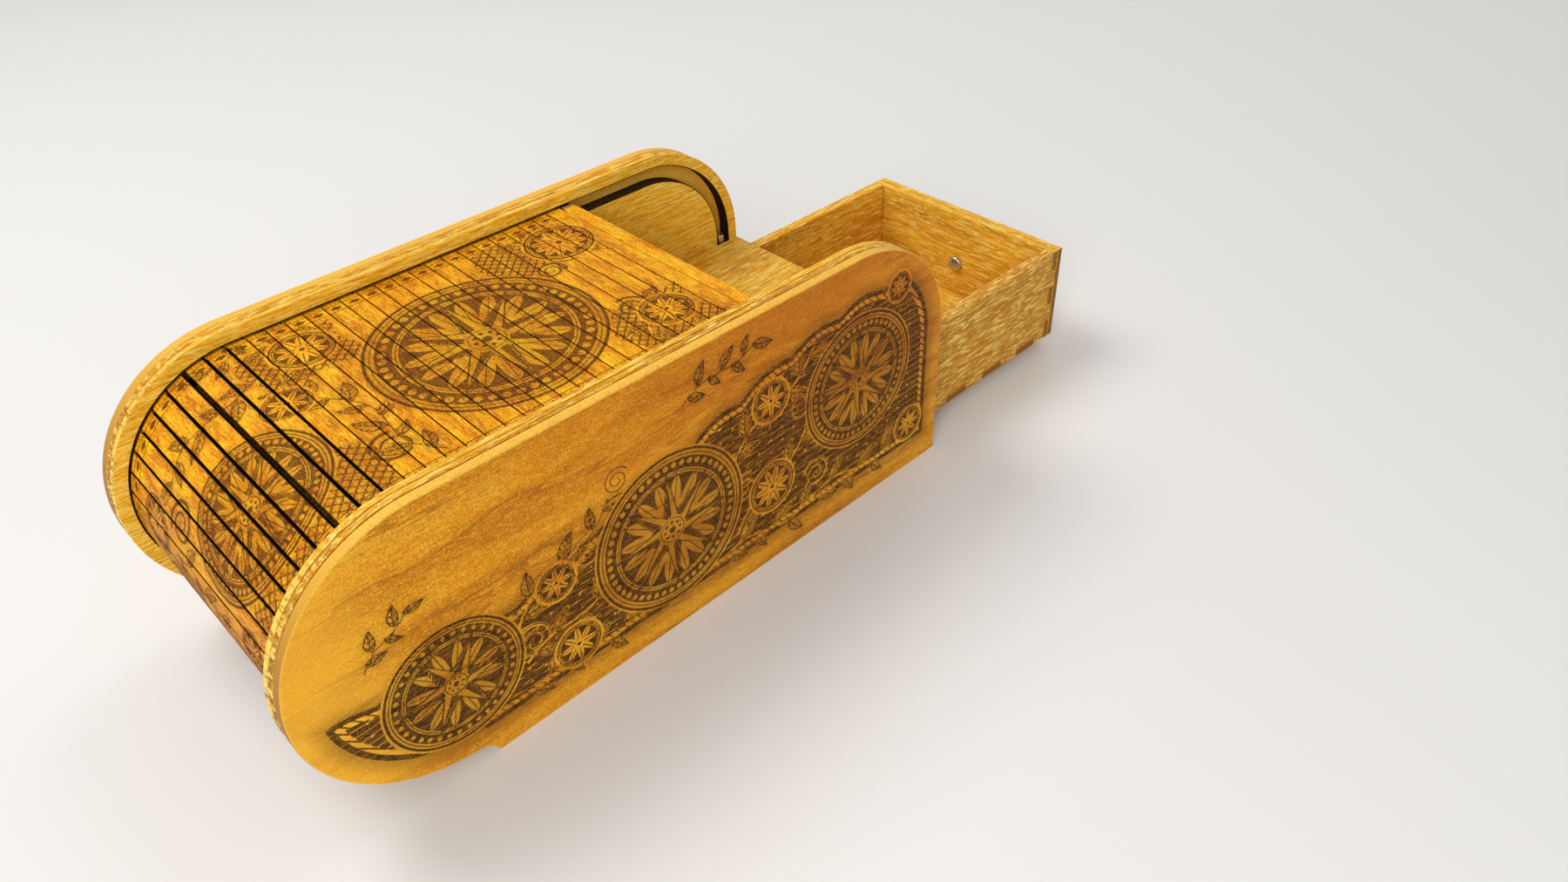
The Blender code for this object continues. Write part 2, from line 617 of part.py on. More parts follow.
def make_screw(group, guides, steel, inner_face):
    """A slotted pan-head screw from inside the drawer, through its front into the knob."""
    seat = inner_face - GLUE_GAP
    reach = DRAWER_FRONT_X + GLUE_GAP + SHANK_REACH - seat
    profile = [(0.0, reach), (SHANK_RADIUS, reach), (SHANK_RADIUS, 0.0), (HEAD_RADIUS, 0.0)]
    rise = HEAD_LENGTH - HEAD_EDGE
    for index in range(HEAD_STEPS + 1):
        angle = math.pi / 2 * index / HEAD_STEPS
        profile.append((HEAD_RADIUS * math.cos(angle), -HEAD_EDGE - rise * math.sin(angle)))
    profile[-1] = (0.0, -HEAD_LENGTH)
    stand = Matrix.Translation((seat, 0.0, KNOB_HEIGHT)) @ Matrix.Rotation(math.pi / 2, 4, "Y")
    screw = turned_piece("knob_screw", profile, MAGNET_STEPS, stand, group, steel)
    length = HEAD_RADIUS + CUT_OVERRUN
    low = (-HEAD_LENGTH - CUT_OVERRUN, -length, -SLOT_WIDTH / 2)
    high = (-HEAD_LENGTH + SLOT_DEPTH, length, SLOT_WIDTH / 2)
    cutter = box_piece("screw_slot", low, high, group, steel)
    centre = cutter.matrix_world.copy()
    turn = Matrix.Rotation(SLOT_ANGLE, 4, "X")
    cutter.matrix_world = Matrix.Translation((seat, 0.0, KNOB_HEIGHT)) @ turn @ centre
    combine(screw, cutter, "DIFFERENCE", guides)


def main():
    clear_scene()
    group = new_collection("tambour_pencil_box")
    guides = new_collection("guides")
    skin = new_material("smooth_veneer", (200, 138, 48), 0.45)
    oak = new_material("oiled_oak", (190, 130, 40), 0.5)
    slat_wood = new_material("amber_slats", (214, 146, 44), 0.42)
    knob_wood = new_material("turned_wood", (176, 112, 36), 0.4)
    cloth = new_material("black_cloth", (20, 19, 18), 0.9)
    steel = new_material("bright_steel", (196, 194, 190), 0.3, 1.0)
    make_sides(group, skin, oak, steel)
    make_boards(group, oak)
    make_lid(group, guides, slat_wood, cloth, steel)
    make_drawer(group, guides, oak, knob_wood, steel)


main()
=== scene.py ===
import math

import bmesh
import bpy
import numpy as np
from mathutils import Matrix, Vector
from mathutils.geometry import tessellate_polygon


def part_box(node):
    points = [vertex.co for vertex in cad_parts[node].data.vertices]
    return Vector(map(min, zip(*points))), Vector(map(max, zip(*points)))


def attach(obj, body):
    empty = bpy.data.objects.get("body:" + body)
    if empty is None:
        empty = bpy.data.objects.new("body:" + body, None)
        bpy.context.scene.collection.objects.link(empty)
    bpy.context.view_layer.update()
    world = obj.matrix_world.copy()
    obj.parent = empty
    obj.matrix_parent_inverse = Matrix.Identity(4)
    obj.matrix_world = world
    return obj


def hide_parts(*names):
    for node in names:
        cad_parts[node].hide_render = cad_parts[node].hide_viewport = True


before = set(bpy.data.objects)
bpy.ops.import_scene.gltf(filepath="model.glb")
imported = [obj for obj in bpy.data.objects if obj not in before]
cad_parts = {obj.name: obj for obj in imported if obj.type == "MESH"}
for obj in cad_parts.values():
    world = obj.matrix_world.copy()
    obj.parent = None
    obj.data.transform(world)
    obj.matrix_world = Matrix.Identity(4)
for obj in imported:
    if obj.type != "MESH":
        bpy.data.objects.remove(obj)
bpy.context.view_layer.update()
print("frame loaded:", len(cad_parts), "nodes")

mm = 0.001
fullTurn = 2 * math.pi
halfTurn = math.pi
quarter = math.pi / 2

# The case's outline and grooves, as the frame has them
case = {
    "left": -0.1150, "right": 0.1150, "height": 0.0930, "halfWidth": 0.0545,
    "leftRadius": 0.0440, "rightRadius": 0.0400,
    "rightEdge": 0.0530,      # height of the straight edge below the right corner
    "notchLead": 0.0040,      # how far before the end's lowest point the hollow begins
    "notchRadius": 0.0060,
    "rimWidth": 0.0042, "grooveWidth": 0.0054, "grooveFoot": 0.0460, "grooveTail": 0.0350,
    "arcStep": math.radians(1.5),
}
bendX = case["left"] + case["leftRadius"]        # centre of the left end
bendZ = case["height"] - case["leftRadius"]
cornerX = case["right"] - case["rightRadius"]    # centre of the right corner
cornerZ = case["rightEdge"]
crownX = bendX - case["notchLead"]               # where the left end meets the hollow
crownZ = bendZ - math.sqrt(case["leftRadius"] ** 2 - case["notchLead"] ** 2)
hollowZ = crownZ - case["notchRadius"]


# Flat boards

boardLook = {
    "easing": 0.00028,        # radius of the eased edges
    "holeEasing": 0.00004,
    # the groove's open side is eased wide and charred: partly laser char, partly a painted shadow line along
    # the groove's edge
    "mouthCharAndShadowEasing": 0.00036,   # burnt edge round the groove's open side
    "easeSteps": 3,
    "sharpAngle": math.radians(42),
    "numberStep": 0.381966,   # spreads the boards' own numbers between 0 and 1
}


# centre plus radius times the cosine and sine of evenly spaced angles
def arcPoints(centreA, centreB, radius, start, stop):
    count = max(2, math.ceil(abs(stop - start) / case["arcStep"]))
    angle = np.linspace(start, stop, count + 1)
    return np.stack([centreA + radius * np.cos(angle), centreB + radius * np.sin(angle)], 1)


# the foot, the right edge and its corner, the top, the left end, and the hollow before the foot
def sideOutline():
    meet = math.atan2(crownZ - bendZ, crownX - bendX) + fullTurn
    radius = case["notchRadius"]
    hollow = arcPoints(crownX, hollowZ, radius, quarter, math.asin(-hollowZ / radius))
    return np.concatenate([
        hollow[-1:], [[case["right"], 0.0]],
        arcPoints(cornerX, cornerZ, case["rightRadius"], 0.0, quarter),
        arcPoints(bendX, bendZ, case["leftRadius"], quarter, meet), hollow[1:-1]])


# out along the groove's outer edge and back along its inner one, as a hole
def grooveOutline():
    rightOuter = case["rightRadius"] - case["rimWidth"]
    rightInner = rightOuter - case["grooveWidth"]
    leftOuter = case["leftRadius"] - case["rimWidth"]
    leftInner = leftOuter - case["grooveWidth"]
    return np.concatenate([
        [[cornerX + rightOuter, case["grooveFoot"]]],
        arcPoints(cornerX, cornerZ, rightOuter, 0.0, quarter),
        arcPoints(bendX, bendZ, leftOuter, quarter, 3 * quarter),
        [[case["grooveTail"], bendZ - leftOuter], [case["grooveTail"], bendZ - leftInner]],
        arcPoints(bendX, bendZ, leftInner, 3 * quarter, quarter),
        arcPoints(cornerX, cornerZ, rightInner, quarter, 0.0),
        [[cornerX + rightInner, case["grooveFoot"]]]])


# the four corners, counter-clockwise from the lowest
def boxOutline(lowA, lowB, highA, highB):
    return np.array([[lowA, lowB], [highA, lowB], [highA, highB], [lowA, highB]])


# twice the area inside a loop, positive when it runs counter-clockwise
def loopArea(loop):
    after = np.roll(loop, -1, axis=0)
    return float((loop[:, 0] * after[:, 1] - after[:, 0] * loop[:, 1]).sum())


# each corner's outward mitre: the sum of its two edges' normals over one plus their dot product
def loopMitres(loop):
    before = loop - np.roll(loop, 1, axis=0)
    before = before / np.linalg.norm(before, axis=1, keepdims=True)
    after = np.roll(before, -1, axis=0)
    outBefore = np.stack([before[:, 1], -before[:, 0]], 1)
    outAfter = np.stack([after[:, 1], -after[:, 0]], 1)
    return (outBefore + outAfter) / (1.0 + (outBefore * outAfter).sum(1, keepdims=True))


# how far inside the outline, and how deep, each ring of a board lies: a quarter round at both faces
def easedRings(depth, front, back):
    angle = np.linspace(0.0, quarter, boardLook["easeSteps"] + 1)
    inset, down = 1.0 - np.sin(angle), 1.0 - np.cos(angle)
    insets = np.concatenate([front * inset, back * inset[::-1]])
    return insets, np.concatenate([front * down, depth - back * down[::-1]])


# quads between neighbouring rings of a closed loop, each ring numbered after the one before
def ringFaces(rings, count, first):
    ring, step = np.meshgrid(np.arange(rings - 1), np.arange(count), indexing="ij")
    ahead = (step + 1) % count
    here = first + ring * count
    quads = np.stack([here + step, here + count + step, here + count + ahead, here + ahead], -1)
    return quads.reshape(-1, 4)


# triangles that fill the loops, all counter-clockwise
def capFaces(loops):
    corners = np.concatenate(loops)
    filled = tessellate_polygon([[Vector((a, b, 0.0)) for a, b in loop] for loop in loops])
    faces = np.array(filled)
    first, second, third = (corners[faces[:, index]] for index in range(3))
    cross = (second[:, 0] - first[:, 0]) * (third[:, 1] - first[:, 1])
    cross = cross - (second[:, 1] - first[:, 1]) * (third[:, 0] - first[:, 0])
    return np.where((cross < 0)[:, None], faces[:, ::-1], faces)


# a board from its outline and holes: rings down the eased edges, and a cap on each face. A hole's
# edges are eased by the mouths' radii, one for each face.
def boardShape(loops, depth, easing, mouths=(0.0, 0.0)):
    loops = [loop if (loopArea(loop) > 0) == (index == 0) else loop[::-1]
             for index, loop in enumerate(loops)]
    eased = [(easing, easing)] + [np.maximum(mouths, boardLook["holeEasing"])] * (len(loops) - 1)
    points, faces, fronts, backs, first = [], [], [], [], 0
    for loop, (front, back) in zip(loops, eased):
        insets, downs = easedRings(depth, front, back)
        mitres = loopMitres(loop)
        rings = loop[None] - insets[:, None, None] * mitres[None]
        down = np.broadcast_to(downs[:, None, None], rings.shape[:2] + (1,))
        points.append(np.concatenate([rings, down], 2).reshape(-1, 3))
        faces += ringFaces(len(insets), len(loop), first).tolist()
        fronts.append(first + np.arange(len(loop)))
        backs.append(first + (len(insets) - 1) * len(loop) + np.arange(len(loop)))
        first += rings.shape[0] * rings.shape[1]
    cap = capFaces([loop - front * loopMitres(loop) for loop, (front, back) in zip(loops, eased)])
    faces += np.concatenate(fronts)[cap].tolist()
    faces += np.concatenate(backs)[cap[:, ::-1]].tolist()
    return np.concatenate(points), faces


# from a board's own plane to the box: standing along X, standing across the box, or lying flat
def placeBoard(points, plane, low, high):
    a, b, down = points.T
    if plane == "side":
        return np.stack([a, low + down, b], 1)
    if plane == "end":
        return np.stack([high - down, a, b], 1)
    return np.stack([a, b, high - down], 1)


# Meshes

# a mesh from points and faces, turned inside out where its volume comes out negative
def closedMesh(name, points, faces):
    mesh = bpy.data.meshes.new(name)
    mesh.from_pydata(np.asarray(points, float), [], faces)
    solid = bmesh.new()
    solid.from_mesh(mesh)
    if solid.calc_volume(signed=True) < 0:
        mesh.flip_normals()
    solid.free()
    return mesh


# an attribute of one number or three for every point or face
def setValues(mesh, name, values, domain="POINT"):
    values = np.ascontiguousarray(values, np.float32)
    kind = "FLOAT_VECTOR" if values.ndim == 2 else "FLOAT"
    layer = mesh.attributes.new(name, kind, domain)
    layer.data.foreach_set("vector" if values.ndim == 2 else "value", values.ravel())


# the share of each face that looks along the grain, where the wood shows its end
def markEndGrain(mesh, axis):
    normals = np.empty(len(mesh.polygons) * 3, np.float32)
    mesh.polygons.foreach_get("normal", normals)
    setValues(mesh, "endGrain", normals.reshape(-1, 3)[:, axis] ** 2, "FACE")


boardCount = 0


# links a finished mesh to the box: its body, its materials and the nodes it stands for
def dress(mesh, body, materials, nodes=(), grain=None):
    global boardCount
    boardCount += 1
    piece = bpy.data.objects.new(mesh.name, mesh)
    bpy.context.scene.collection.objects.link(piece)
    for material in materials:
        mesh.materials.append(material)
    if grain is not None:
        markEndGrain(mesh, grain)
    if "board" not in mesh.attributes:
        number = math.modf(boardCount * boardLook["numberStep"])[0]
        setValues(mesh, "board", np.full(len(mesh.vertices), number))
    mesh.polygons.foreach_set("use_smooth", np.ones(len(mesh.polygons), bool))
    mesh.set_sharp_from_angle(angle=boardLook["sharpAngle"])
    weigh = piece.modifiers.new("weighted normals", "WEIGHTED_NORMAL")
    weigh.keep_sharp = True
    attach(piece, body)
    if nodes:
        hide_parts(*nodes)
    return piece


# Shader building

# a display level of 0 to 255 as linear light
def linearLevel(level):
    share = level / 255
    return share / 12.92 if share <= 0.04045 else ((share + 0.055) / 1.055) ** 2.4


def colour(red, green, blue):
    return (linearLevel(red), linearLevel(green), linearLevel(blue), 1.0)


# a socket is linked, and a plain value is set
def feed(tree, value, socket):
    if isinstance(value, bpy.types.NodeSocket):
        tree.links.new(value, socket)
    else:
        socket.default_value = value


def addNode(tree, kind, inputs=None, **settings):
    node = tree.nodes.new(kind)
    for name, value in settings.items():
        setattr(node, name, value)
    for name, value in (inputs or {}).items():
        feed(tree, value, node.inputs[name])
    return node


def calc(tree, operation, first, second=0.0, third=0.0):
    node = addNode(tree, "ShaderNodeMath", {0: first, 1: second, 2: third}, operation=operation)
    return node.outputs[0]


def calcVector(tree, operation, first, second):
    node = addNode(tree, "ShaderNodeVectorMath", {0: first, 1: second}, operation=operation)
    return node.outputs[0]


# from one range to another with an eased start and stop
def ease(tree, value, low, high, toLow=0.0, toHigh=1.0):
    inputs = {"Value": value, "From Min": low, "From Max": high, "To Min": toLow, "To Max": toHigh}
    return addNode(tree, "ShaderNodeMapRange", inputs, interpolation_type="SMOOTHSTEP").outputs[0]


def blend(tree, share, first, second, mode="MIX"):
    node = addNode(tree, "ShaderNodeMix", {"Factor": share}, data_type="RGBA", blend_type=mode)
    feed(tree, first, node.inputs["A"])
    feed(tree, second, node.inputs["B"])
    return node.outputs["Result"]


# noise whose cells are so many millimetres long and wide
def grainNoise(tree, place, sizes, detail=2.0, roughness=0.5, distortion=0.0):
    scaled = calcVector(tree, "DIVIDE", place, sizes)
    inputs = {"Vector": scaled, "Scale": 1.0, "Detail": detail, "Roughness": roughness,
              "Distortion": distortion}
    return addNode(tree, "ShaderNodeTexNoise", inputs).outputs["Fac"]


def attribute(tree, name, output):
    return addNode(tree, "ShaderNodeAttribute", attribute_name=name).outputs[output]


def newMaterial(name):
    material = bpy.data.materials.new(name)
    material.use_nodes = True
    tree = material.node_tree
    return material, tree, tree.nodes["Principled BSDF"]


boardShift = (900.0, 370.0, 530.0)   # millimetres, times the board's own number


# object coordinates in millimetres with the grain along the first axis, shifted from board to board
def grainPlace(tree, axis):
    place = addNode(tree, "ShaderNodeTexCoord").outputs["Object"]
    parts = addNode(tree, "ShaderNodeSeparateXYZ", {0: place})
    order = {0: (0, 1, 2), 1: (1, 0, 2), 2: (2, 1, 0)}[axis]
    joined = addNode(tree, "ShaderNodeCombineXYZ", {
        index: parts.outputs[source] for index, source in enumerate(order)}).outputs[0]
    inMillimetres = calcVector(tree, "MULTIPLY", joined, (1 / mm, 1 / mm, 1 / mm))
    board = attribute(tree, "board", "Fac")
    spread = addNode(tree, "ShaderNodeCombineXYZ", {
        index: calc(tree, "MULTIPLY", board, shift) for index, shift in enumerate(boardShift)}).outputs[0]
    return calcVector(tree, "ADD", inMillimetres, spread)


def addBump(tree, shader, height, strength, distance):
    inputs = {"Strength": strength, "Distance": distance, "Height": height}
    feed(tree, addNode(tree, "ShaderNodeBump", inputs).outputs["Normal"], shader.inputs["Normal"])


# Woods: sizes are millimetres along the grain and across it, and shares run from 0 to 1

skinWood = {
    "pale": (255, 190, 56), "middle": (234, 156, 18), "deep": (184, 100, 3),
    "pore": (128, 68, 4), "fleck": (255, 206, 70), "bare": (248, 198, 80),
    "driftSize": (60.0, 9.0, 9.0), "driftShare": 0.74, "lean": 0.35,
    "ringPitch": 7.0, "ringSway": 15.0, "ringShare": 0.32, "ringLine": 0.42,
    "fibreSize": (3.6, 0.40, 0.40), "fibreShare": 0.50,
    "speckleSize": (0.50, 0.36, 0.36), "speckleShare": 0.55,
    "poreSize": (1.6, 0.30, 0.30), "poreStart": 0.61, "poreShare": 0.40,
    "fleckSize": (5.0, 0.9, 0.9), "fleckStart": 0.60, "fleckShare": 0.22,
    "roughness": 0.42, "specular": 0.10, "bump": 0.16,
    # painted shade deepens the skin along the box and upwards, and painted light keeps its left end pale, for
    # light that falls off away from the left
    "paintedShade": 0.60, "paintedShadeAlong": (-105.0, 70.0), "paintedShadeFoot": 0.15, "paintedShadeTone": (212, 128, 4),
    "paintedLightLeft": 0.62,
    "ground": (52, 25, 8), "line": (20, 9, 3), "scratch": (198, 130, 38), "burnShare": 0.93,
}
oakWood = {
    "pale": (255, 200, 46), "middle": (240, 163, 20), "deep": (182, 106, 4),
    "pore": (118, 64, 7), "fleck": (255, 226, 116), "bare": (250, 200, 66),
    "driftSize": (80.0, 9.0, 9.0), "driftShare": 0.60, "lean": 0.55,
    "ringPitch": 3.2, "ringSway": 6.0, "ringShare": 0.36, "ringLine": 0.12,
    "fibreSize": (9.0, 0.50, 0.50), "fibreShare": 0.50,
    "speckleSize": (1.0, 0.4, 0.4), "speckleShare": 0.26,
    "poreSize": (3.4, 0.32, 0.32), "poreStart": 0.60, "poreShare": 0.55,
    "fleckSize": (6.5, 0.75, 0.75), "fleckStart": 0.525, "fleckShare": 0.84,
    "roughness": 0.48, "specular": 0.10, "bump": 0.30, "paintedShade": 0.0,
}
slatWood = {
    "pale": (255, 196, 22), "middle": (242, 154, 6), "deep": (188, 96, 1),
    "pore": (114, 54, 2), "fleck": (255, 214, 60), "bare": (250, 200, 66),
    "driftSize": (16.0, 6.0, 6.0), "driftShare": 0.75, "lean": 0.4,
    "ringPitch": 6.0, "ringSway": 12.0, "ringShare": 0.26, "ringLine": 0.22,
    "fibreSize": (5.0, 0.45, 0.45), "fibreShare": 0.50,
    "speckleSize": (0.6, 0.4, 0.4), "speckleShare": 0.42,
    "poreSize": (2.6, 0.32, 0.32), "poreStart": 0.59, "poreShare": 0.6,
    "fleckSize": (4.0, 0.9, 0.9), "fleckStart": 0.57, "fleckShare": 0.40,
    "roughness": 0.45, "specular": 0.07, "bump": 0.26,
    # painted shade darkens the slats round the lower bend and below it, where shade falls as they turn down
    "paintedShade": 0.60, "paintedShadeAlong": (-34.0, -74.0), "paintedShadeFoot": 1.0, "paintedShadeTone": (140, 76, 5),
    "paintedLightLeft": 0.0,
    "ground": (108, 54, 8), "line": (58, 26, 4), "scratch": (194, 118, 20), "burnShare": 0.88,
}
knobWood = dict(oakWood, pale=(206, 138, 30), middle=(182, 112, 16), deep=(146, 84, 8),
                ringPitch=1.9, roughness=0.38, bump=0.15)

# what all the woods share; pairs of noise levels are where an eased step starts and stops
figure = {
    "dark": (0.52, 0.36), "light": (0.50, 0.66), "poreEdge": 0.07, "fleckEdge": 0.10,
    "poreInRing": (0.1, 0.8, 0.35, 1.0), "ringPower": 2.5, "ringEdge": (0.975, 0.998),
    # where the painted shade grows with height, and where the painted light at the left end fades
    "paintedShadeMix": 0.5, "paintedShadeHeight": (10.0, 80.0), "paintedLightAlong": (-78.0, -108.0),
    "bare": (0.36, 0.60, 0.50, 0.90),
    "ridgeSize": (1.2, 9.0, 1.2), "ridge": (0.46, 0.56), "ridgeTint": 0.16, "endShare": 0.82,
    "poreDepth": 0.8, "roughSway": 0.16, "charRoughness": 0.3, "bumpDistance": 0.0002,
}
burning = {
    "hatchPitch": 0.62, "hatchWander": 0.5, "wanderSize": (9.0, 3.0, 3.0),
    "hatchEdge": (-0.10, 0.14), "hatchShare": 0.72, "edgeSoftness": 0.09,
    "lineHalf": 0.17, "lineSoftness": 0.07, "lineShare": 0.95, "lineReach": 0.34, "lineFade": 0.2,
    "keep": 0.08, "scratchSize": (3.4, 0.30, 0.30), "scratchShare": 0.80, "scraped": (0.50, 0.68),
    "dug": (0.50, 0.36, 0.0, 0.7), "mottleShare": 0.35, "fibreShare": 0.16,
    # char's near black, which on the liners' groove walls also paints the groove's shade
    "roughness": 0.60, "sink": 0.5, "char": (20, 11, 6),
}


# darker where the noise is low and lighter where it is high
def mottle(tree, tone, value, dark, light, share):
    tone = blend(tree, ease(tree, value, *figure["dark"], 0.0, share), tone, dark)
    return blend(tree, ease(tree, value, *figure["light"], 0.0, share), tone, light)


# drift between two tones, rings as a sine across the wandering grain, then fibres, dark pores and
# pale flecks as stretched noise; a board's own tint, paler or deeper, goes under the fine figure
def figureNodes(tree, wood, place, tint):
    deep, pale = colour(*wood["deep"]), colour(*wood["pale"])
    dark, bright = colour(*wood["pore"]), colour(*wood["fleck"])
    across = addNode(tree, "ShaderNodeSeparateXYZ", {0: place})
    drift = grainNoise(tree, place, wood["driftSize"], 3.0, 0.55, 0.6)
    sway = calc(tree, "MULTIPLY", drift, wood["ringSway"])
    lean = calc(tree, "MULTIPLY_ADD", across.outputs[2], wood["lean"], across.outputs[1])
    phase = calc(tree, "DIVIDE", calc(tree, "ADD", lean, sway), wood["ringPitch"] / fullTurn)
    ring = calc(tree, "MULTIPLY_ADD", calc(tree, "SINE", phase), 0.5, 0.5)
    fibre = grainNoise(tree, place, wood["fibreSize"], 4.0, 0.62)
    speckle = grainNoise(tree, place, wood["speckleSize"], 2.0, 0.6)
    pore = grainNoise(tree, place, wood["poreSize"], 2.0, 0.5)
    pore = ease(tree, pore, wood["poreStart"], wood["poreStart"] + figure["poreEdge"])
    pore = calc(tree, "MULTIPLY", pore, ease(tree, ring, *figure["poreInRing"]))
    fleck = grainNoise(tree, place, wood["fleckSize"], 2.0, 0.5, 0.4)
    fleck = ease(tree, fleck, wood["fleckStart"], wood["fleckStart"] + figure["fleckEdge"])
    ringShare = calc(tree, "MULTIPLY", calc(tree, "POWER", ring, figure["ringPower"]), wood["ringShare"])
    tone = mottle(tree, colour(*wood["middle"]), drift, deep, pale, wood["driftShare"])
    tone = blend(tree, ringShare, tone, deep)
    tone = blend(tree, calc(tree, "MAXIMUM", tint, 0.0), tone, pale)
    tone = blend(tree, calc(tree, "MAXIMUM", calc(tree, "MULTIPLY", tint, -1.0), 0.0), tone, deep)
    tone = mottle(tree, tone, fibre, deep, bright, wood["fibreShare"])
    tone = mottle(tree, tone, speckle, deep, bright, wood["speckleShare"])
    tone = blend(tree, calc(tree, "MULTIPLY", fleck, wood["fleckShare"]), tone, bright)
    tone = blend(tree, calc(tree, "MULTIPLY", pore, wood["poreShare"]), tone, dark)
    tone = blend(tree, ease(tree, ring, *figure["ringEdge"], 0.0, wood["ringLine"]), tone, dark)
    return tone, fibre, speckle, pore


# painted shade deepens the tone along the box (on the skins also upwards) where the light falls off, painted
# light keeps the skins' left end pale, and eased edges are bare
def paintedLightNodes(tree, wood, tone, speckle):
    lay = addNode(tree, "ShaderNodeSeparateXYZ", {0: attribute(tree, "lay", "Vector")})
    along, upward = lay.outputs[0], lay.outputs[1]
    paintedShadeTone = blend(tree, 1.0, tone, colour(*wood["paintedShadeTone"]), "MULTIPLY")
    paintedShadeTone = blend(tree, figure["paintedShadeMix"], paintedShadeTone, colour(*wood["paintedShadeTone"]))
    share = ease(tree, along, *wood["paintedShadeAlong"], 0.0, wood["paintedShade"])
    share = calc(tree, "MULTIPLY", share, ease(tree, upward, *figure["paintedShadeHeight"], wood["paintedShadeFoot"], 1.0))
    paintedLightShare = ease(tree, along, *figure["paintedLightAlong"], 0.0, wood["paintedLightLeft"])
    tone = blend(tree, paintedLightShare, tone, colour(*wood["pale"]))
    tone = blend(tree, share, tone, paintedShadeTone)
    bare = calc(tree, "MULTIPLY", attribute(tree, "bare", "Fac"), ease(tree, speckle, *figure["bare"]))
    return blend(tree, bare, tone, colour(*wood["bare"]))


# end grain: ridges as noise that runs round the board's edge, or one dark tone where it has none
def endGrainNodes(tree, wood, place, tone, tint):
    ridge = grainNoise(tree, place, figure["ridgeSize"], 2.0, 0.6)
    ridge = ease(tree, calc(tree, "MULTIPLY_ADD", tint, figure["ridgeTint"], ridge), *figure["ridge"])
    ridge = calc(tree, "MULTIPLY", ridge, attribute(tree, "ridged", "Fac"))
    endTone = blend(tree, ridge, colour(*wood["pore"]), colour(*wood["fleck"]))
    share = calc(tree, "MULTIPLY", attribute(tree, "endGrain", "Fac"), figure["endShare"])
    return blend(tree, share, tone, endTone)


# the engraving's fields. The burn's first value is the distance to its edge in millimetres,
# negative where burnt, the second how wide the hatching lines are, and the third how dark it is.
def burnNodes(tree, place):
    field = addNode(tree, "ShaderNodeSeparateXYZ", {0: attribute(tree, "burn", "Vector")})
    fine = addNode(tree, "ShaderNodeSeparateXYZ", {0: attribute(tree, "fine", "Vector")})
    lay = addNode(tree, "ShaderNodeSeparateXYZ", {0: attribute(tree, "lay", "Vector")})
    edge, shade, depth = (field.outputs[index] for index in range(3))
    solid = ease(tree, edge, -burning["edgeSoftness"], burning["edgeSoftness"], 1.0, 0.0)
    wander = grainNoise(tree, place, burning["wanderSize"], 2.0, 0.5)
    line = calc(tree, "DIVIDE", lay.outputs[1], burning["hatchPitch"])
    line = calc(tree, "MULTIPLY_ADD", wander, burning["hatchWander"], line)
    wave = calc(tree, "MULTIPLY", calc(tree, "PINGPONG", line, 0.5), 2.0)
    hatch = ease(tree, calc(tree, "SUBTRACT", shade, wave), *burning["hatchEdge"])
    hatch = calc(tree, "MULTIPLY", hatch, burning["hatchShare"])
    away = calc(tree, "ABSOLUTE", fine.outputs[0])
    half, soft = burning["lineHalf"], burning["lineSoftness"]
    stroke = ease(tree, away, half - soft, half + soft, burning["lineShare"], 0.0)
    reach = burning["lineReach"]
    within = ease(tree, fine.outputs[1], reach, reach + burning["lineFade"], 1.0, 0.0)
    stroke = calc(tree, "MULTIPLY", stroke, within)
    depth = calc(tree, "MAXIMUM", depth, calc(tree, "MULTIPLY", stroke, burning["lineShare"]))
    return calc(tree, "MAXIMUM", calc(tree, "MAXIMUM", solid, hatch), stroke), depth


# the burn's brown, scraped pale and dug dark along the grain, laid over the wood
def engraveNodes(tree, wood, place, tone, fibre, speckle):
    burnt, depth = burnNodes(tree, place)
    dark, light = colour(*wood["line"]), colour(*wood["scratch"])
    brown = blend(tree, depth, colour(*wood["ground"]), dark)
    brown = blend(tree, burning["keep"], brown, blend(tree, 1.0, brown, tone, "SCREEN"))
    scratch = grainNoise(tree, place, burning["scratchSize"], 3.0, 0.6)
    share = calc(tree, "MULTIPLY_ADD", depth, -burning["scratchShare"], burning["scratchShare"])
    share = calc(tree, "MULTIPLY", ease(tree, scratch, *burning["scraped"]), share)
    brown = blend(tree, share, brown, light)
    brown = blend(tree, ease(tree, scratch, *burning["dug"]), brown, dark)
    brown = mottle(tree, brown, speckle, dark, light, burning["mottleShare"])
    share = calc(tree, "MULTIPLY_ADD", fibre, burning["fibreShare"], wood["burnShare"])
    return blend(tree, calc(tree, "MULTIPLY", burnt, share), tone, brown), burnt


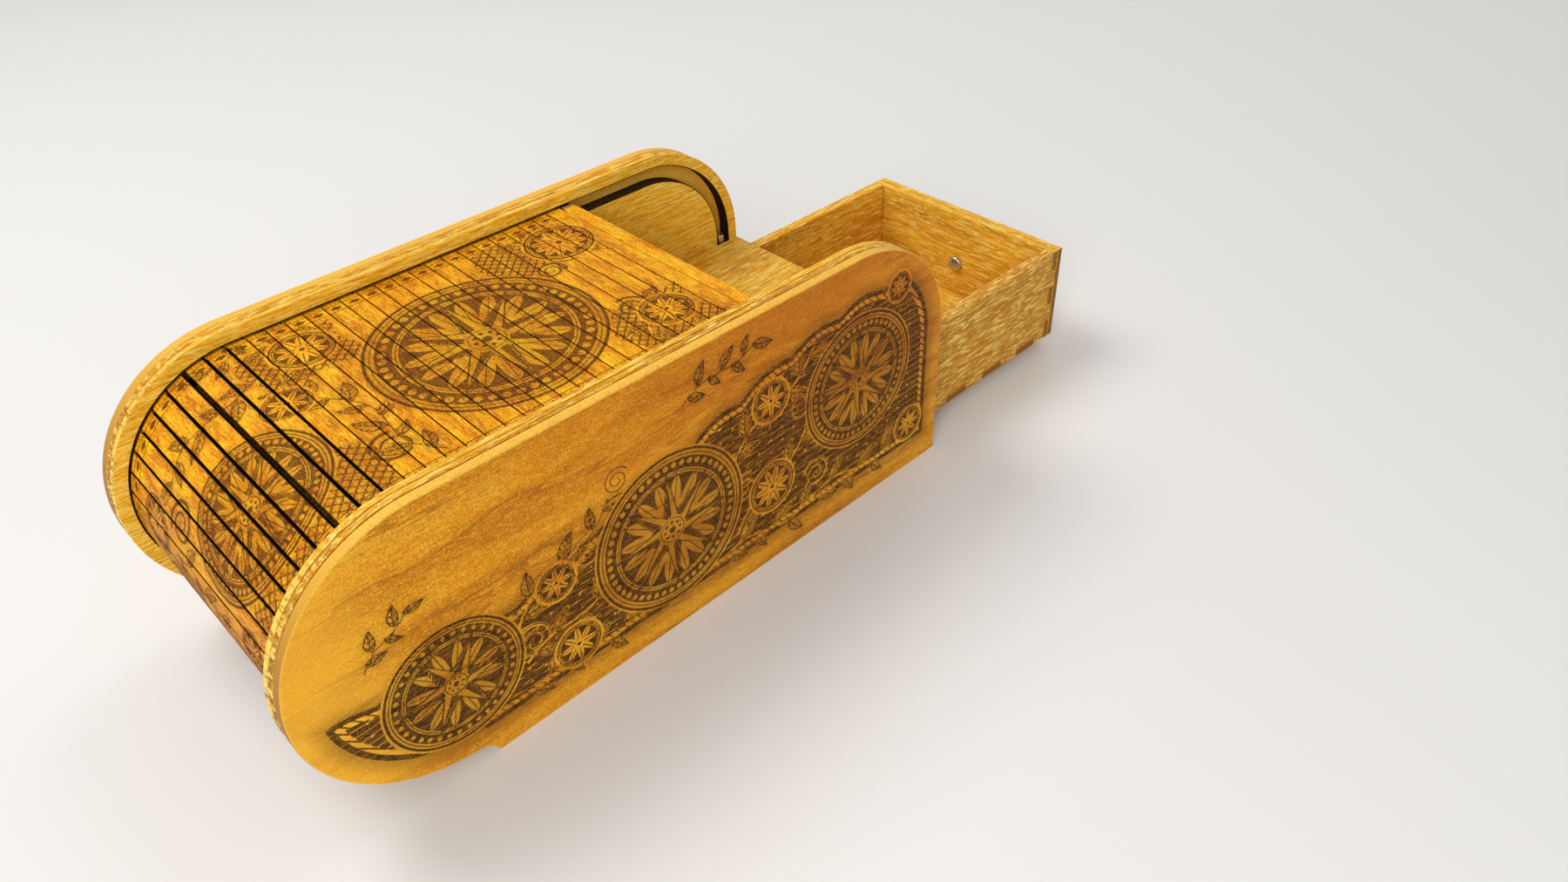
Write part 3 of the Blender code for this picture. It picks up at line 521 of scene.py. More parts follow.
# a wood with its figure, painted shade and painted light, end grain and engraving, and charred walls nearly
# black, partly painted shade in the groove
def woodMaterial(name, wood, axis, engraved=False):
    material, tree, shader = newMaterial(name)
    place = grainPlace(tree, axis)
    tint = attribute(tree, "tint", "Fac")
    tone, fibre, speckle, pore = figureNodes(tree, wood, place, tint)
    # painted shade and painted light, for the woods that have them
    if wood["paintedShade"]:
        tone = paintedLightNodes(tree, wood, tone, speckle)
    tone = endGrainNodes(tree, wood, place, tone, tint)
    sway = figure["roughSway"]
    height = calc(tree, "MULTIPLY_ADD", pore, -figure["poreDepth"], fibre)
    rough = calc(tree, "MULTIPLY_ADD", fibre, sway, wood["roughness"] - sway / 2)
    if engraved:
        tone, burnt = engraveNodes(tree, wood, place, tone, fibre, speckle)
        height = calc(tree, "MULTIPLY_ADD", burnt, -burning["sink"], height)
        rough = calc(tree, "MULTIPLY_ADD", burnt, burning["roughness"] - wood["roughness"], rough)
    # char darkens the tone to near black; on the liners' groove walls this is partly painted shade
    char = attribute(tree, "char", "Fac")
    rough = calc(tree, "MULTIPLY_ADD", char, figure["charRoughness"], rough)
    feed(tree, blend(tree, char, tone, colour(*burning["char"])), shader.inputs["Base Color"])
    feed(tree, rough, shader.inputs["Roughness"])
    shader.inputs["Specular IOR Level"].default_value = wood["specular"]
    addBump(tree, shader, height, wood["bump"], figure["bumpDistance"])
    return material


steelLook = {
    "tones": ((176, 174, 168), (222, 220, 214)), "cloudSize": (2.2, 2.2, 2.2),
    "scratchSize": (0.12, 1.6, 0.12), "roughness": (0.2, 0.42), "bump": 0.12, "bumpDistance": 0.00005,
}


# cloudy between two greys, with fine scratches as stretched noise
def steelMaterial():
    material, tree, shader = newMaterial("nickelled steel")
    place = addNode(tree, "ShaderNodeTexCoord").outputs["Object"]
    place = calcVector(tree, "MULTIPLY", place, (1 / mm, 1 / mm, 1 / mm))
    scratch = grainNoise(tree, place, steelLook["scratchSize"], 3.0)
    cloudy = grainNoise(tree, place, steelLook["cloudSize"], 2.0)
    tones = [colour(*tone) for tone in steelLook["tones"]]
    feed(tree, blend(tree, cloudy, *tones), shader.inputs["Base Color"])
    shader.inputs["Metallic"].default_value = 1.0
    feed(tree, ease(tree, scratch, 0.2, 0.8, *steelLook["roughness"]), shader.inputs["Roughness"])
    addBump(tree, shader, scratch, steelLook["bump"], steelLook["bumpDistance"])
    return material


weaveLook = {
    "thread": 0.7, "tones": ((10, 10, 10), (34, 33, 32)), "fuzz": (52, 50, 48), "fuzzSize": (0.3, 0.3, 0.3),
    "fuzzShare": 0.3, "roughness": 0.92, "sheen": 0.15, "bump": 0.5, "bumpDistance": 0.00015,
}


# black plain weave: threads over and under as the product of two sines along the strip and across it
def clothMaterial():
    material, tree, shader = newMaterial("black woven cloth")
    place = attribute(tree, "lay", "Vector")
    lay = addNode(tree, "ShaderNodeSeparateXYZ", {0: place})
    threads = [calc(tree, "SINE", calc(tree, "MULTIPLY", lay.outputs[index], fullTurn / weaveLook["thread"]))
               for index in range(2)]
    weave = calc(tree, "MULTIPLY_ADD", calc(tree, "MULTIPLY", *threads), 0.5, 0.5)
    fuzz = calc(tree, "MULTIPLY", grainNoise(tree, place, weaveLook["fuzzSize"], 3.0), weaveLook["fuzzShare"])
    tone = blend(tree, weave, *[colour(*tone) for tone in weaveLook["tones"]])
    feed(tree, blend(tree, fuzz, tone, colour(*weaveLook["fuzz"])), shader.inputs["Base Color"])
    shader.inputs["Roughness"].default_value = weaveLook["roughness"]
    shader.inputs["Sheen Weight"].default_value = weaveLook["sheen"]
    addBump(tree, shader, weave, weaveLook["bump"], weaveLook["bumpDistance"])
    return material


veneer = woodMaterial("honey veneer", skinWood, 0, engraved=True)
oakAlong = woodMaterial("oak along the box", oakWood, 0)
oakAcross = woodMaterial("oak across the box", oakWood, 1)
amber = woodMaterial("amber slats", slatWood, 1, engraved=True)
turnedWood = woodMaterial("turned wood", knobWood, 0)
steel = steelMaterial()
blackCloth = clothMaterial()
print("materials made")


# Engraving: fields in millimetres. Solid burns are negative inside; fine lines keep the signed
# distance to the nearest line, so that a line stays thin between the points of the grid.

fields = {"blank": 6.0, "limit": 2.0, "depth": 0.4, "depthReach": 0.3, "hatchReach": 0.6}


class Engraving:
    def __init__(self, a, b):
        self.a, self.b = a, b
        self.edge = np.full(a.shape, fields["blank"])
        self.shade = np.zeros(a.shape)
        self.depth = np.full(a.shape, fields["depth"])
        self.fine = np.full(a.shape, fields["blank"])
        self.away = np.full(a.shape, fields["blank"])

    # the union of what is burnt and the field: the lesser distance
    def burn(self, field, depth=fields["depth"]):
        self.depth = np.where(field < np.minimum(self.edge, fields["depthReach"]), depth, self.depth)
        self.edge = np.minimum(self.edge, field)

    # the field is cut out of the burns, the hatching and the lines
    def clear(self, field):
        self.edge = np.maximum(self.edge, -field)
        self.shade = np.where(field < 0, 0.0, self.shade)
        self.fine = np.where(field < 0, fields["blank"], self.fine)
        self.away = np.where(field < 0, fields["blank"], self.away)

    # hatching lines widen inwards over the reach
    def hatch(self, field, amount, reach=fields["hatchReach"]):
        self.shade = np.maximum(self.shade, amount * np.clip(0.5 - field / reach, 0.0, 1.0))

    # a thin line where the signed distance is zero, within the area
    def line(self, signed, area=None):
        away = np.abs(signed) if area is None else np.maximum(np.abs(signed), area)
        self.fine = np.where(away < self.away, signed, self.fine)
        self.away = np.minimum(away, self.away)

    def values(self):
        limit = fields["limit"]
        burn = np.stack([np.clip(self.edge, -limit, limit), self.shade, self.depth], -1)
        fine = [np.clip(self.fine, -limit, limit), np.clip(self.away, 0.0, limit), 0 * self.away]
        return burn, np.stack(fine, -1)


# distance and angle from a centre
def polar(a, b, centre):
    return np.hypot(a - centre[0], b - centre[1]), np.arctan2(b - centre[1], a - centre[0])


# how far from the nearest of evenly spaced lines
def nearLine(value, pitch):
    return np.abs(np.mod(value, pitch) - pitch / 2)


# a ring is the distance from its circle less half its width
def ringField(a, b, centre, radius, width):
    return np.abs(polar(a, b, centre)[0] - radius) - width / 2


# the angle folded into one of evenly spaced sectors, as the radius's share along and across its middle
def folded(a, b, centre, count, turn):
    radius, angle = polar(a, b, centre)
    half = math.pi / count
    inSector = np.mod(angle - turn + half, 2 * half) - half
    return radius * np.cos(inSector), radius * np.sin(inSector)


# a star measures, in one point's sector, to the line from its tip to its inner corner
def starField(a, b, centre, outer, inner, count, turn):
    u, v = folded(a, b, centre, count, turn)
    half = math.pi / count
    innerU, innerV = inner * math.cos(half), inner * math.sin(half)
    length = math.hypot(innerV, outer - innerU)
    return ((u - outer) * innerV + np.abs(v) * (outer - innerU)) / length, v


# petals: an ellipse in each sector, from the inner to the outer radius
def petalField(a, b, centre, inner, outer, width, count, turn):
    u, v = folded(a, b, centre, count, turn)
    middle, reach = (inner + outer) / 2, (outer - inner) / 2
    return (np.hypot((u - middle) / reach, v / (width / 2)) - 1) * width / 2, v


# beads: small discs evenly spaced on a circle
def beadField(a, b, centre, radius, size, count, turn):
    u, v = folded(a, b, centre, count, turn)
    return np.hypot(u - radius, v) - size


# a leaf: its half width is a sine along its length, and its middle line sags by its bend
def leafField(a, b, stem, length, width, turn, bend=0.0):
    along = (a - stem[0]) * math.cos(turn) + (b - stem[1]) * math.sin(turn)
    aside = (b - stem[1]) * math.cos(turn) - (a - stem[0]) * math.sin(turn)
    share = np.clip(along / length, 0.0, 1.0)
    aside = aside - bend * 4 * share * (1 - share)
    body = np.abs(aside) - width / 2 * np.sin(math.pi * share ** leafLook["fullness"])
    return np.maximum(body * leafLook["slope"], np.maximum(-along, along - length)), along, aside


# a spiral stroke: the distance to the nearest turn of radius start plus pitch per turn
def curlField(a, b, centre, start, pitch, turns, turn, hand, width):
    radius, angle = polar(a, b, centre)
    swept = np.mod(hand * (angle - turn), fullTurn) / fullTurn
    index = np.clip(np.round((radius - start) / pitch - swept), 0, math.ceil(turns) - 1)
    reach = np.minimum(index + swept, turns)
    least = curlLook["taper"]
    taper = least + (1 - least) * np.clip(reach / turns, 0.0, 1.0)
    signed = radius - start - pitch * reach
    beyond = curlLook["beyond"] * (index + swept > turns)
    return np.abs(signed) - width / 2 * taper + beyond, signed


# radii and widths are shares of the rosette's radius; margin, outline and glow are millimetres
rosetteLook = {
    "margin": 1.2, "depth": 0.55, "rings": ((0.95, 0.07), (0.745, 0.05)),
    "bead": (0.855, 0.036), "beadsPerPoint": 3, "petal": (0.20, 0.70, 0.15),
    "star": (0.70, 0.22), "starEdge": 0.55, "starDepth": 0.8, "starFold": 0.25, "foldDepth": 0.5,
    "hub": 0.19, "hubLine": 0.16, "dot": (0.105, 0.022), "dotCount": 8, "eye": 0.045,
    "dark": 0.9, "outline": (0.2, 0.7, 0.95), "glow": (1.0, 0.5, 3.0),
}


# a burnt disc with two pale rings, beads between them, petals and a star with one dark side to each
# point, and a pierced hub
def addRosette(art, centre, radius, points, turn=0.0):
    a, b, look = art.a, art.b, rosetteLook
    far = polar(a, b, centre)[0]
    art.clear(far - radius - look["margin"])
    art.burn(far - radius, look["depth"])
    for place, width in look["rings"]:
        art.clear(ringField(a, b, centre, radius * place, radius * width))
        art.line(far - radius * place)
    place, size = (radius * share for share in look["bead"])
    art.clear(beadField(a, b, centre, place, size, points * look["beadsPerPoint"], turn))
    inner, outer, width = (radius * share for share in look["petal"])
    petal, v = petalField(a, b, centre, inner, outer, width, points, turn + halfTurn / points)
    art.clear(petal)
    art.line(v, petal)
    outer, inner = (radius * share for share in look["star"])
    star, v = starField(a, b, centre, outer, inner, points // 2, turn)
    art.burn(star - look["starEdge"], look["starDepth"])
    art.clear(star)
    art.burn(np.maximum(star + look["starFold"], -v), look["foldDepth"])
    art.line(v, star)
    art.clear(far - radius * look["hub"])
    art.line(far - radius * look["hubLine"])
    place, size = (radius * share for share in look["dot"])
    art.burn(beadField(a, b, centre, place, size, look["dotCount"], turn), look["dark"])
    art.burn(far - radius * look["eye"], look["dark"])
    away, width, depth = look["outline"]
    art.burn(ringField(a, b, centre, radius + away, width), depth)
    away, amount, reach = look["glow"]
    art.hatch(far - radius - away, amount, reach)


wheelLook = {"margin": 0.8, "depth": 0.7, "rim": (0.88, 0.10), "petal": (0.14, 0.80, 0.26), "hub": 0.20,
             "eye": 0.09, "dark": 0.9}


# a burnt disc with a pale rim, petals for spokes and a hub
def addWheel(art, centre, radius, spokes, turn=0.0):
    a, b, look = art.a, art.b, wheelLook
    far = polar(a, b, centre)[0]
    art.clear(far - radius - look["margin"])
    art.burn(far - radius, look["depth"])
    rim, width = (radius * share for share in look["rim"])
    art.clear(ringField(a, b, centre, rim, width))
    inner, outer, width = (radius * share for share in look["petal"])
    petal, v = petalField(a, b, centre, inner, outer, width, spokes, turn)
    art.clear(petal)
    art.line(v, petal)
    art.clear(far - radius * look["hub"])
    art.burn(far - radius * look["eye"], look["dark"])
    art.line(far - rim)


leafLook = {"fullness": 0.8, "slope": 0.92, "margin": 0.35, "veinPitch": 1.9, "veinSlope": 1.2,
            "veinInset": 0.3, "shade": 0.7, "glow": (1.0, 0.35, 2.0)}


# a pale leaf with an outline, a middle vein, side veins that sweep forwards, and one side hatched
def addLeaf(art, stem, length, width, turn, bend=0.0):
    body, along, aside = leafField(art.a, art.b, stem, length, width, turn, bend)
    art.clear(body - leafLook["margin"])
    art.line(body)
    art.line(aside, body)
    pitch = leafLook["veinPitch"]
    veins = np.mod(along - np.abs(aside) * leafLook["veinSlope"], pitch) - pitch / 2
    art.line(veins, body + leafLook["veinInset"])
    art.hatch(np.maximum(body, aside), leafLook["shade"])
    away, amount, reach = leafLook["glow"]
    art.hatch(body - away, amount, reach)


curlLook = {"start": 0.08, "pitch": 0.38, "turns": 2.25, "width": 0.17, "taper": 0.45, "beyond": 20,
            "lineShift": 0.03, "lineInset": 0.3, "depth": 0.6, "glow": (0.9, 0.45, 1.8)}


# a spiral, pale with a line in it on a burnt ground, or burnt on bare wood
def addCurl(art, centre, size, turn, hand, onDark=True):
    start, pitch, width = (size * curlLook[name] for name in ("start", "pitch", "width"))
    stroke, signed = curlField(art.a, art.b, centre, start, pitch, curlLook["turns"], turn, hand, width)
    if onDark:
        art.clear(stroke)
        art.line(signed - size * curlLook["lineShift"], stroke + curlLook["lineInset"])
    else:
        away, amount, reach = curlLook["glow"]
        art.burn(stroke, curlLook["depth"])
        art.hatch(stroke - away, amount, reach)


vineLook = {"half": 0.55, "line": 0.45, "lean": 0.85, "leafWidth": 0.42, "leafBend": 0.06,
            "sizes": (0.85, 0.15, 2.4)}


# a stem with leaves on alternate sides; it follows a sine between two points
def addVine(art, start, stop, swing, waves, leaves, leafSize):
    length = math.hypot(stop[0] - start[0], stop[1] - start[1])
    turn = math.atan2(stop[1] - start[1], stop[0] - start[0])
    along = (art.a - start[0]) * math.cos(turn) + (art.b - start[1]) * math.sin(turn)
    aside = (art.b - start[1]) * math.cos(turn) - (art.a - start[0]) * math.sin(turn)
    rate = fullTurn * waves / length
    slope = swing * rate * np.cos(rate * along)
    stem = (aside - swing * np.sin(rate * along)) / np.sqrt(1 + slope ** 2)
    within = np.maximum(-along, along - length)
    art.clear(np.maximum(np.abs(stem) - vineLook["half"], within))
    art.line(stem + vineLook["line"], within)
    least, spread, step = vineLook["sizes"]
    for index in range(leaves):
        run = length * (index + 0.5) / leaves
        off = swing * math.sin(rate * run)
        place = (start[0] + run * math.cos(turn) - off * math.sin(turn),
                 start[1] + run * math.sin(turn) + off * math.cos(turn))
        hand = 1 if index % 2 else -1
        lean = turn + math.atan(swing * rate * math.cos(rate * run)) + hand * vineLook["lean"]
        size = leafSize * (least + spread * math.sin(index * step))
        addLeaf(art, place, size, size * vineLook["leafWidth"], lean, hand * size * vineLook["leafBend"])


# places are millimetres from the side's lower left corner. Rosettes and wheels: centre, radius,
# points; vines: start, stop, swing, waves, leaves, leaf size; curls: centre, size, turn, hand.
panel = {
    "groundLow": 11.0, "crestLow": 42.0, "crestRise": 36.0, "riseFrom": 30.0, "riseOver": 170.0,
    "scallop": 2.2, "scallopPitch": 6.4, "margin": 7.0, "groundDepth": 0.30, "glow": (2.6, 0.75, 5.0),
    "streakInset": 3.6, "streakPitch": 2.4, "streakHalf": 0.16, "streakSway": 0.8, "streakWave": 9.0,
    "dotInset": 4.6, "dotPitch": 4.8, "dotRadius": 0.42,
    "ropeInset": 2.6, "ropeHalf": 0.9, "ropePitch": 2.6, "ropeGap": 0.35, "ropeDepth": 0.8,
    "rosettes": [((112.0, 38.0), 26.0, 16), ((40.0, 33.0), 19.5, 12), ((190.0, 50.0), 23.0, 16)],
    "wheels": [((76.0, 19.0), 7.5, 8), ((151.0, 30.0), 9.0, 10), ((152.0, 62.0), 7.0, 8),
               ((215.0, 19.0), 6.5, 8), ((73.0, 45.0), 6.0, 8), ((208.0, 76.0), 5.0, 8)],
    "vines": [((56.0, 13.0), (96.0, 14.5), 1.6, 1.0, 6, 10.0),
              ((128.0, 13.5), (206.0, 15.5), 2.2, 2.0, 12, 11.5),
              ((60.0, 38.0), (92.0, 62.0), 2.4, 1.0, 7, 10.0),
              ((136.0, 47.0), (170.0, 72.0), 2.4, 1.0, 7, 10.5),
              ((60.0, 24.0), (88.0, 33.0), 1.5, 1.0, 4, 8.5),
              ((136.0, 20.0), (166.0, 44.0), 2.0, 1.0, 5, 9.0)],
    "curls": [((63.0, 30.0), 6.5, 0.4, 1), ((84.0, 49.0), 6.0, 3.0, -1), ((140.0, 36.0), 6.0, 2.6, -1),
              ((164.0, 54.0), 6.0, 0.2, 1), ((170.0, 24.0), 6.5, 1.2, 1), ((96.0, 66.0), 4.5, 2.0, -1)],
    "sprigs": [((120.0, 78.0), (148.0, 86.0), 1.4, 1.0, 7, 8.0),
               ((20.0, 54.0), (34.0, 66.0), 1.0, 1.0, 5, 7.0)],
}


# negative inside the burnt ground: under a scalloped crest and within both round ends
def groundField(a, b):
    rise = np.clip((a - panel["riseFrom"]) / panel["riseOver"], 0.0, 1.0)
    crest = panel["crestLow"] + panel["crestRise"] * rise * rise * (3 - 2 * rise)
    crest = crest + panel["scallop"] * np.abs(np.sin(a / panel["scallopPitch"]))
    leftA, leftB = (bendX - case["left"]) / mm, bendZ / mm
    rightA, rightB = (cornerX - case["left"]) / mm, cornerZ / mm
    left = np.hypot(np.minimum(a - leftA, 0.0), b - leftB) - case["leftRadius"] / mm + panel["margin"]
    right = np.hypot(np.maximum(a - rightA, 0.0), np.maximum(b - rightB, 0.0))
    right = right - case["rightRadius"] / mm + panel["margin"]
    left = np.where(a < leftA, left, -fields["blank"])
    return np.maximum.reduce([panel["groundLow"] - b, b - crest, left, right])


# the side's picture: the ground with streaks and dots, a rope along its edge, and pale curls, vines,
# wheels and rosettes on it
def engravePanel(x, z):
    a, b = (x - case["left"]) / mm, z / mm
    art = Engraving(a, b)
    ground = groundField(a, b)
    away, amount, reach = panel["glow"]
    art.burn(ground, panel["groundDepth"])
    art.hatch(ground - away, amount, reach)
    sway = b + panel["streakSway"] * np.sin(a / panel["streakWave"])
    streaks = nearLine(sway, panel["streakPitch"]) - panel["streakHalf"]
    art.clear(np.maximum(ground + panel["streakInset"], streaks))
    pitch = panel["dotPitch"]
    dotA = np.mod(a, pitch) - pitch / 2
    dotB = np.mod(b + pitch / 2 * np.floor(a / pitch), pitch) - pitch / 2
    art.clear(np.maximum(np.hypot(dotA, dotB) - panel["dotRadius"], ground + panel["dotInset"]))
    for curl in panel["curls"]:
        addCurl(art, *curl)
    for vine in panel["vines"]:
        addVine(art, *vine)
    rope = np.abs(ground + panel["ropeInset"]) - panel["ropeHalf"]
    art.clear(rope)
    twists = nearLine(a + b, panel["ropePitch"]) - panel["ropeGap"]
    art.burn(np.maximum(rope, twists), panel["ropeDepth"])
    for wheel in panel["wheels"]:
        addWheel(art, *wheel)
    for rosette in panel["rosettes"]:
        addRosette(art, *rosette)
    for sprig in panel["sprigs"]:
        addVine(art, *sprig)
    return art.values()


# along the unrolled lid in millimetres from the bend's start, and across it from the middle
lidArt = {
    "rosettes": [((50.0, -4.0), 33.0, 16), ((-24.0, -14.0), 21.0, 16), ((-76.0, 12.0), 22.0, 16)],
    "wheels": [((96.0, 27.0), 11.0, 12), ((12.0, 29.0), 9.0, 10), ((-2.0, 8.0), 6.5, 8),
               ((94.0, -28.0), 8.0, 10), ((-48.0, 28.0), 8.0, 10), ((-52.0, -30.0), 6.5, 8),
               ((-108.0, -24.0), 9.0, 10)],
    "vines": [((104.0, 12.0), (82.0, 38.0), 2.0, 1.0, 6, 9.5),
              ((100.0, -14.0), (82.0, -38.0), 2.0, 1.0, 6, 9.5),
              ((22.0, 36.0), (-12.0, 38.0), 1.6, 1.0, 7, 9.0),
              ((16.0, -38.0), (2.0, 20.0), 2.6, 1.5, 11, 10.0),
              ((-2.0, 24.0), (-36.0, 20.0), 2.2, 1.0, 7, 10.0),
              ((-50.0, 16.0), (-54.0, -20.0), 2.0, 1.0, 7, 9.0),
              ((-70.0, -20.0), (-100.0, -8.0), 2.0, 1.0, 7, 9.5),
              ((-104.0, 36.0), (-104.0, -6.0), 2.0, 1.0, 7, 9.0)],
    "curls": [((88.0, -20.0), 6.0, 0.4, 1), ((8.0, -28.0), 7.0, 2.2, -1), ((-40.0, 12.0), 6.5, 0.6, 1),
              ((-62.0, -32.0), 6.5, 0.2, 1), ((84.0, 14.0), 5.0, 1.0, -1)],
    "lattices": [(-42.0, 4.0, -30.0), (-106.0, -66.0, 30.0), (76.0, 104.0, -30.0), (70.0, 104.0, 28.0),
                 (-4.0, 24.0, 26.0)],   # from, to, and the middle across
    "latticeReach": 11.0, "latticeSway": (1.5, 2.9, 3.7), "latticePitch": 3.2, "latticeHalf": 0.3,
    "latticeDepth": 0.25, "latticeGlow": (0.5, 6.0),
    "borders": (-42.0, 42.0), "borderStart": -150.0, "borderStop": 106.0, "borderHalf": 1.9,
    "diamondStart": 104.45, "diamondPitch": 5.6, "diamond": (0.6, 1.2), "diamondSlope": 0.86,
    "diamondDepth": 0.6,
}


# crossed lines within a patch whose edge wanders
def addLattice(art, low, high, centre):
    a, b = art.a, art.b
    swing, waveA, waveB = lidArt["latticeSway"]
    area = np.maximum.reduce([low - a, a - high, np.abs(b - centre) - lidArt["latticeReach"]])
    area = area + swing * np.sin(a / waveA) * np.sin(b / waveB)
    pitch = lidArt["latticePitch"]
    lines = np.minimum(nearLine(a + b, pitch), nearLine(a - b, pitch)) / math.sqrt(2) - lidArt["latticeHalf"]
    art.burn(np.maximum(area, lines), lidArt["latticeDepth"])
    art.hatch(area, *lidArt["latticeGlow"])


# the lid, unrolled: pale wood with lattices, rosettes, wheels and vines, and a border along each edge
def engraveLid(s, y):
    a, b = s / mm, y / mm
    art = Engraving(a, b)
    for lattice in lidArt["lattices"]:
        addLattice(art, *lattice)
    for curl in lidArt["curls"]:
        addCurl(art, *curl, onDark=False)
    for vine in lidArt["vines"]:
        addVine(art, *vine)
    for wheel in lidArt["wheels"]:
        addWheel(art, *wheel)
    for rosette in lidArt["rosettes"]:
        addRosette(art, *rosette)
    shut = np.maximum(a - lidArt["borderStop"], lidArt["borderStart"] - a)
    along = nearLine(a - lidArt["diamondStart"], lidArt["diamondPitch"])
    lean, half = lidArt["diamond"]
    for place in lidArt["borders"]:
        art.line(np.abs(b - place) - lidArt["borderHalf"], shut)
        diamond = along * lean + np.abs(b - place) - half
        art.burn(np.maximum(diamond * lidArt["diamondSlope"], shut), lidArt["diamondDepth"])
    return art.values()


# Side skins: an engraved front grid, eased edges and a flat back

skin = {"columnPitch": 0.00050, "rowPitch": 0.00051, "arcPitch": 0.0012, "easing": 0.0004, "tip": 0.00003,
        "samples": 20001}


# the outline's lower and upper height at each x, with both pulled in by the inset
def outlineHeights(x, inset):
    leftRadius = case["leftRadius"] - inset
    rightRadius = case["rightRadius"] - inset
    hollowRadius = case["notchRadius"] + inset
    left = np.sqrt(np.maximum(leftRadius ** 2 - np.minimum(x - bendX, 0.0) ** 2, 0.0))
    right = np.sqrt(np.maximum(rightRadius ** 2 - np.maximum(x - cornerX, 0.0) ** 2, 0.0))
    high = np.where(x < bendX, bendZ + left, cornerZ + right)
    hollow = hollowZ + np.sqrt(np.maximum(hollowRadius ** 2 - np.maximum(x - crownX, 0.0) ** 2, 0.0))
    low = np.where(x < crownX, bendZ - left, np.maximum(hollow, inset))
    return low, high


# columns close enough for the engraving, and closer still where the outline is steep
def skinColumns(inset):
    x = np.linspace(case["left"] + inset + skin["tip"], case["right"] - inset, skin["samples"])
    low, high = outlineHeights(x, inset)
    step = np.maximum(np.hypot(np.gradient(high), np.gradient(x)), np.hypot(np.gradient(low), np.gradient(x)))
    density = np.maximum(np.gradient(x) / skin["columnPitch"], step / skin["arcPitch"])
    total = np.concatenate([[0.0], np.cumsum(density)[:-1]])
    return np.interp(np.linspace(0.0, total[-1], math.ceil(total[-1])), total, x)


# quads between the neighbours of a grid of points
def gridFaces(index):
    return np.stack([index[:-1, :-1], index[1:, :-1], index[1:, 1:], index[:-1, 1:]], -1).reshape(-1, 4)


# the grid runs from the outline's lower height to its upper one at each column; rings round its
# border go down the eased edges, and a cap closes the back
def skinMesh(name, sign):
    inset = skin["easing"]
    lowest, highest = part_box("near_skin")
    x = skinColumns(inset)
    low, high = outlineHeights(x, inset)
    rows = math.ceil((case["height"] - 2 * inset) / skin["rowPitch"])
    share = np.linspace(0.0, 1.0, rows)
    gridX = np.broadcast_to(x[:, None], (len(x), rows))
    gridZ = low[:, None] + (high - low)[:, None] * share[None]
    index = np.arange(gridX.size).reshape(gridX.shape)
    quads = gridFaces(index)
    border = np.concatenate([index[:, 0], index[-1, 1:], index[-2::-1, -1], index[0, -2:0:-1]])
    flat = np.stack([gridX.ravel(), gridZ.ravel()], 1)
    loop = flat[border] + inset * loopMitres(flat[border])
    insets, downs = easedRings(highest.y - lowest.y, inset, inset)
    mitres = loopMitres(loop)
    rings = loop[None] - insets[1:, None, None] * mitres[None]
    down = np.broadcast_to(downs[1:, None, None], rings.shape[:2] + (1,))
    points = np.concatenate([np.column_stack([flat, np.zeros(len(flat))]),
                             np.concatenate([rings, down], 2).reshape(-1, 3)])
    ahead = np.roll(np.arange(len(border)), -1)
    first = len(flat)
    collar = np.stack([border, first + np.arange(len(border)), first + ahead, border[ahead]], 1)
    walls = ringFaces(len(insets) - 1, len(border), first)
    cap = capFaces([loop - inset * mitres])[:, ::-1] + first + (len(insets) - 2) * len(border)
    faces = quads.tolist() + collar.tolist() + walls.tolist() + cap.tolist()
    burn, fine = engravePanel(points[:, 0], points[:, 1])
    placed = np.stack([points[:, 0], sign * (case["halfWidth"] - points[:, 2]), points[:, 1]], 1)
    mesh = closedMesh(name, placed, faces)
    setValues(mesh, "burn", burn)
    setValues(mesh, "fine", fine)
    setValues(mesh, "lay", points / mm)
    setValues(mesh, "bare", np.arange(len(faces)) >= len(quads), "FACE")
    return mesh


for side, sign in (("near", -1), ("far", 1)):
    mesh = skinMesh(f"{side}Skin", sign)
    dress(mesh, "case", [veneer], [f"{side}_skin"], grain=0)
print("skins:", len(mesh.polygons), "faces each")


# Boards: a tint above 0 is paler wood and below 0 deeper; on the drawer's near side the deeper tint is
# painted shade

# the groove walls' near black is partly laser char and partly painted shade of the groove
linerLook = {"char": 0.96, "ridged": 0.9, "outerTint": -0.4, "innerTint": 0.85, "floorTint": 0.2}


# a board from its outline. Where it has hidden sides, its groove's walls and those sides are
# charred and painted near black, partly as the groove's shade, and its rim shows ridged end grain.
def addBoard(name, node, body, loops, plane, material, grain, tint=0.0, hidden=None):
    low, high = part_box(node)
    axis = {"side": 1, "end": 0, "flat": 2}[plane]
    mouths = [0.0, 0.0]
    if hidden is not None:
        mouths = [0.0 if face in hidden else boardLook["mouthCharAndShadowEasing"] for face in (0, 1)]
    points, faces = boardShape(loops, high[axis] - low[axis], boardLook["easing"], mouths)
    mesh = closedMesh(name, placeBoard(points, plane, low[axis], high[axis]), faces)
    shades = np.full(len(faces), tint)
    if hidden is not None:
        perPoint = 2 * boardLook["easeSteps"] + 1
        index = np.arange(len(faces))
        rim, walls = len(loops[0]) * perPoint, sum(len(loop) for loop in loops) * perPoint
        back = walls + (len(faces) - walls) // 2
        isDark = (index >= rim) & (index < walls)
        isDark |= (index >= walls) & (index < back) & (0 in hidden)
        isDark |= (index >= back) & (1 in hidden)
        setValues(mesh, "char", np.where(isDark, linerLook["char"], 0.0), "FACE")
        setValues(mesh, "ridged", np.where(index < rim, linerLook["ridged"], 0.0), "FACE")
        shades = np.where(index < rim, tint / 2, tint)
    setValues(mesh, "tint", shades, "FACE")
    return dress(mesh, body, [material], [node], grain=grain)


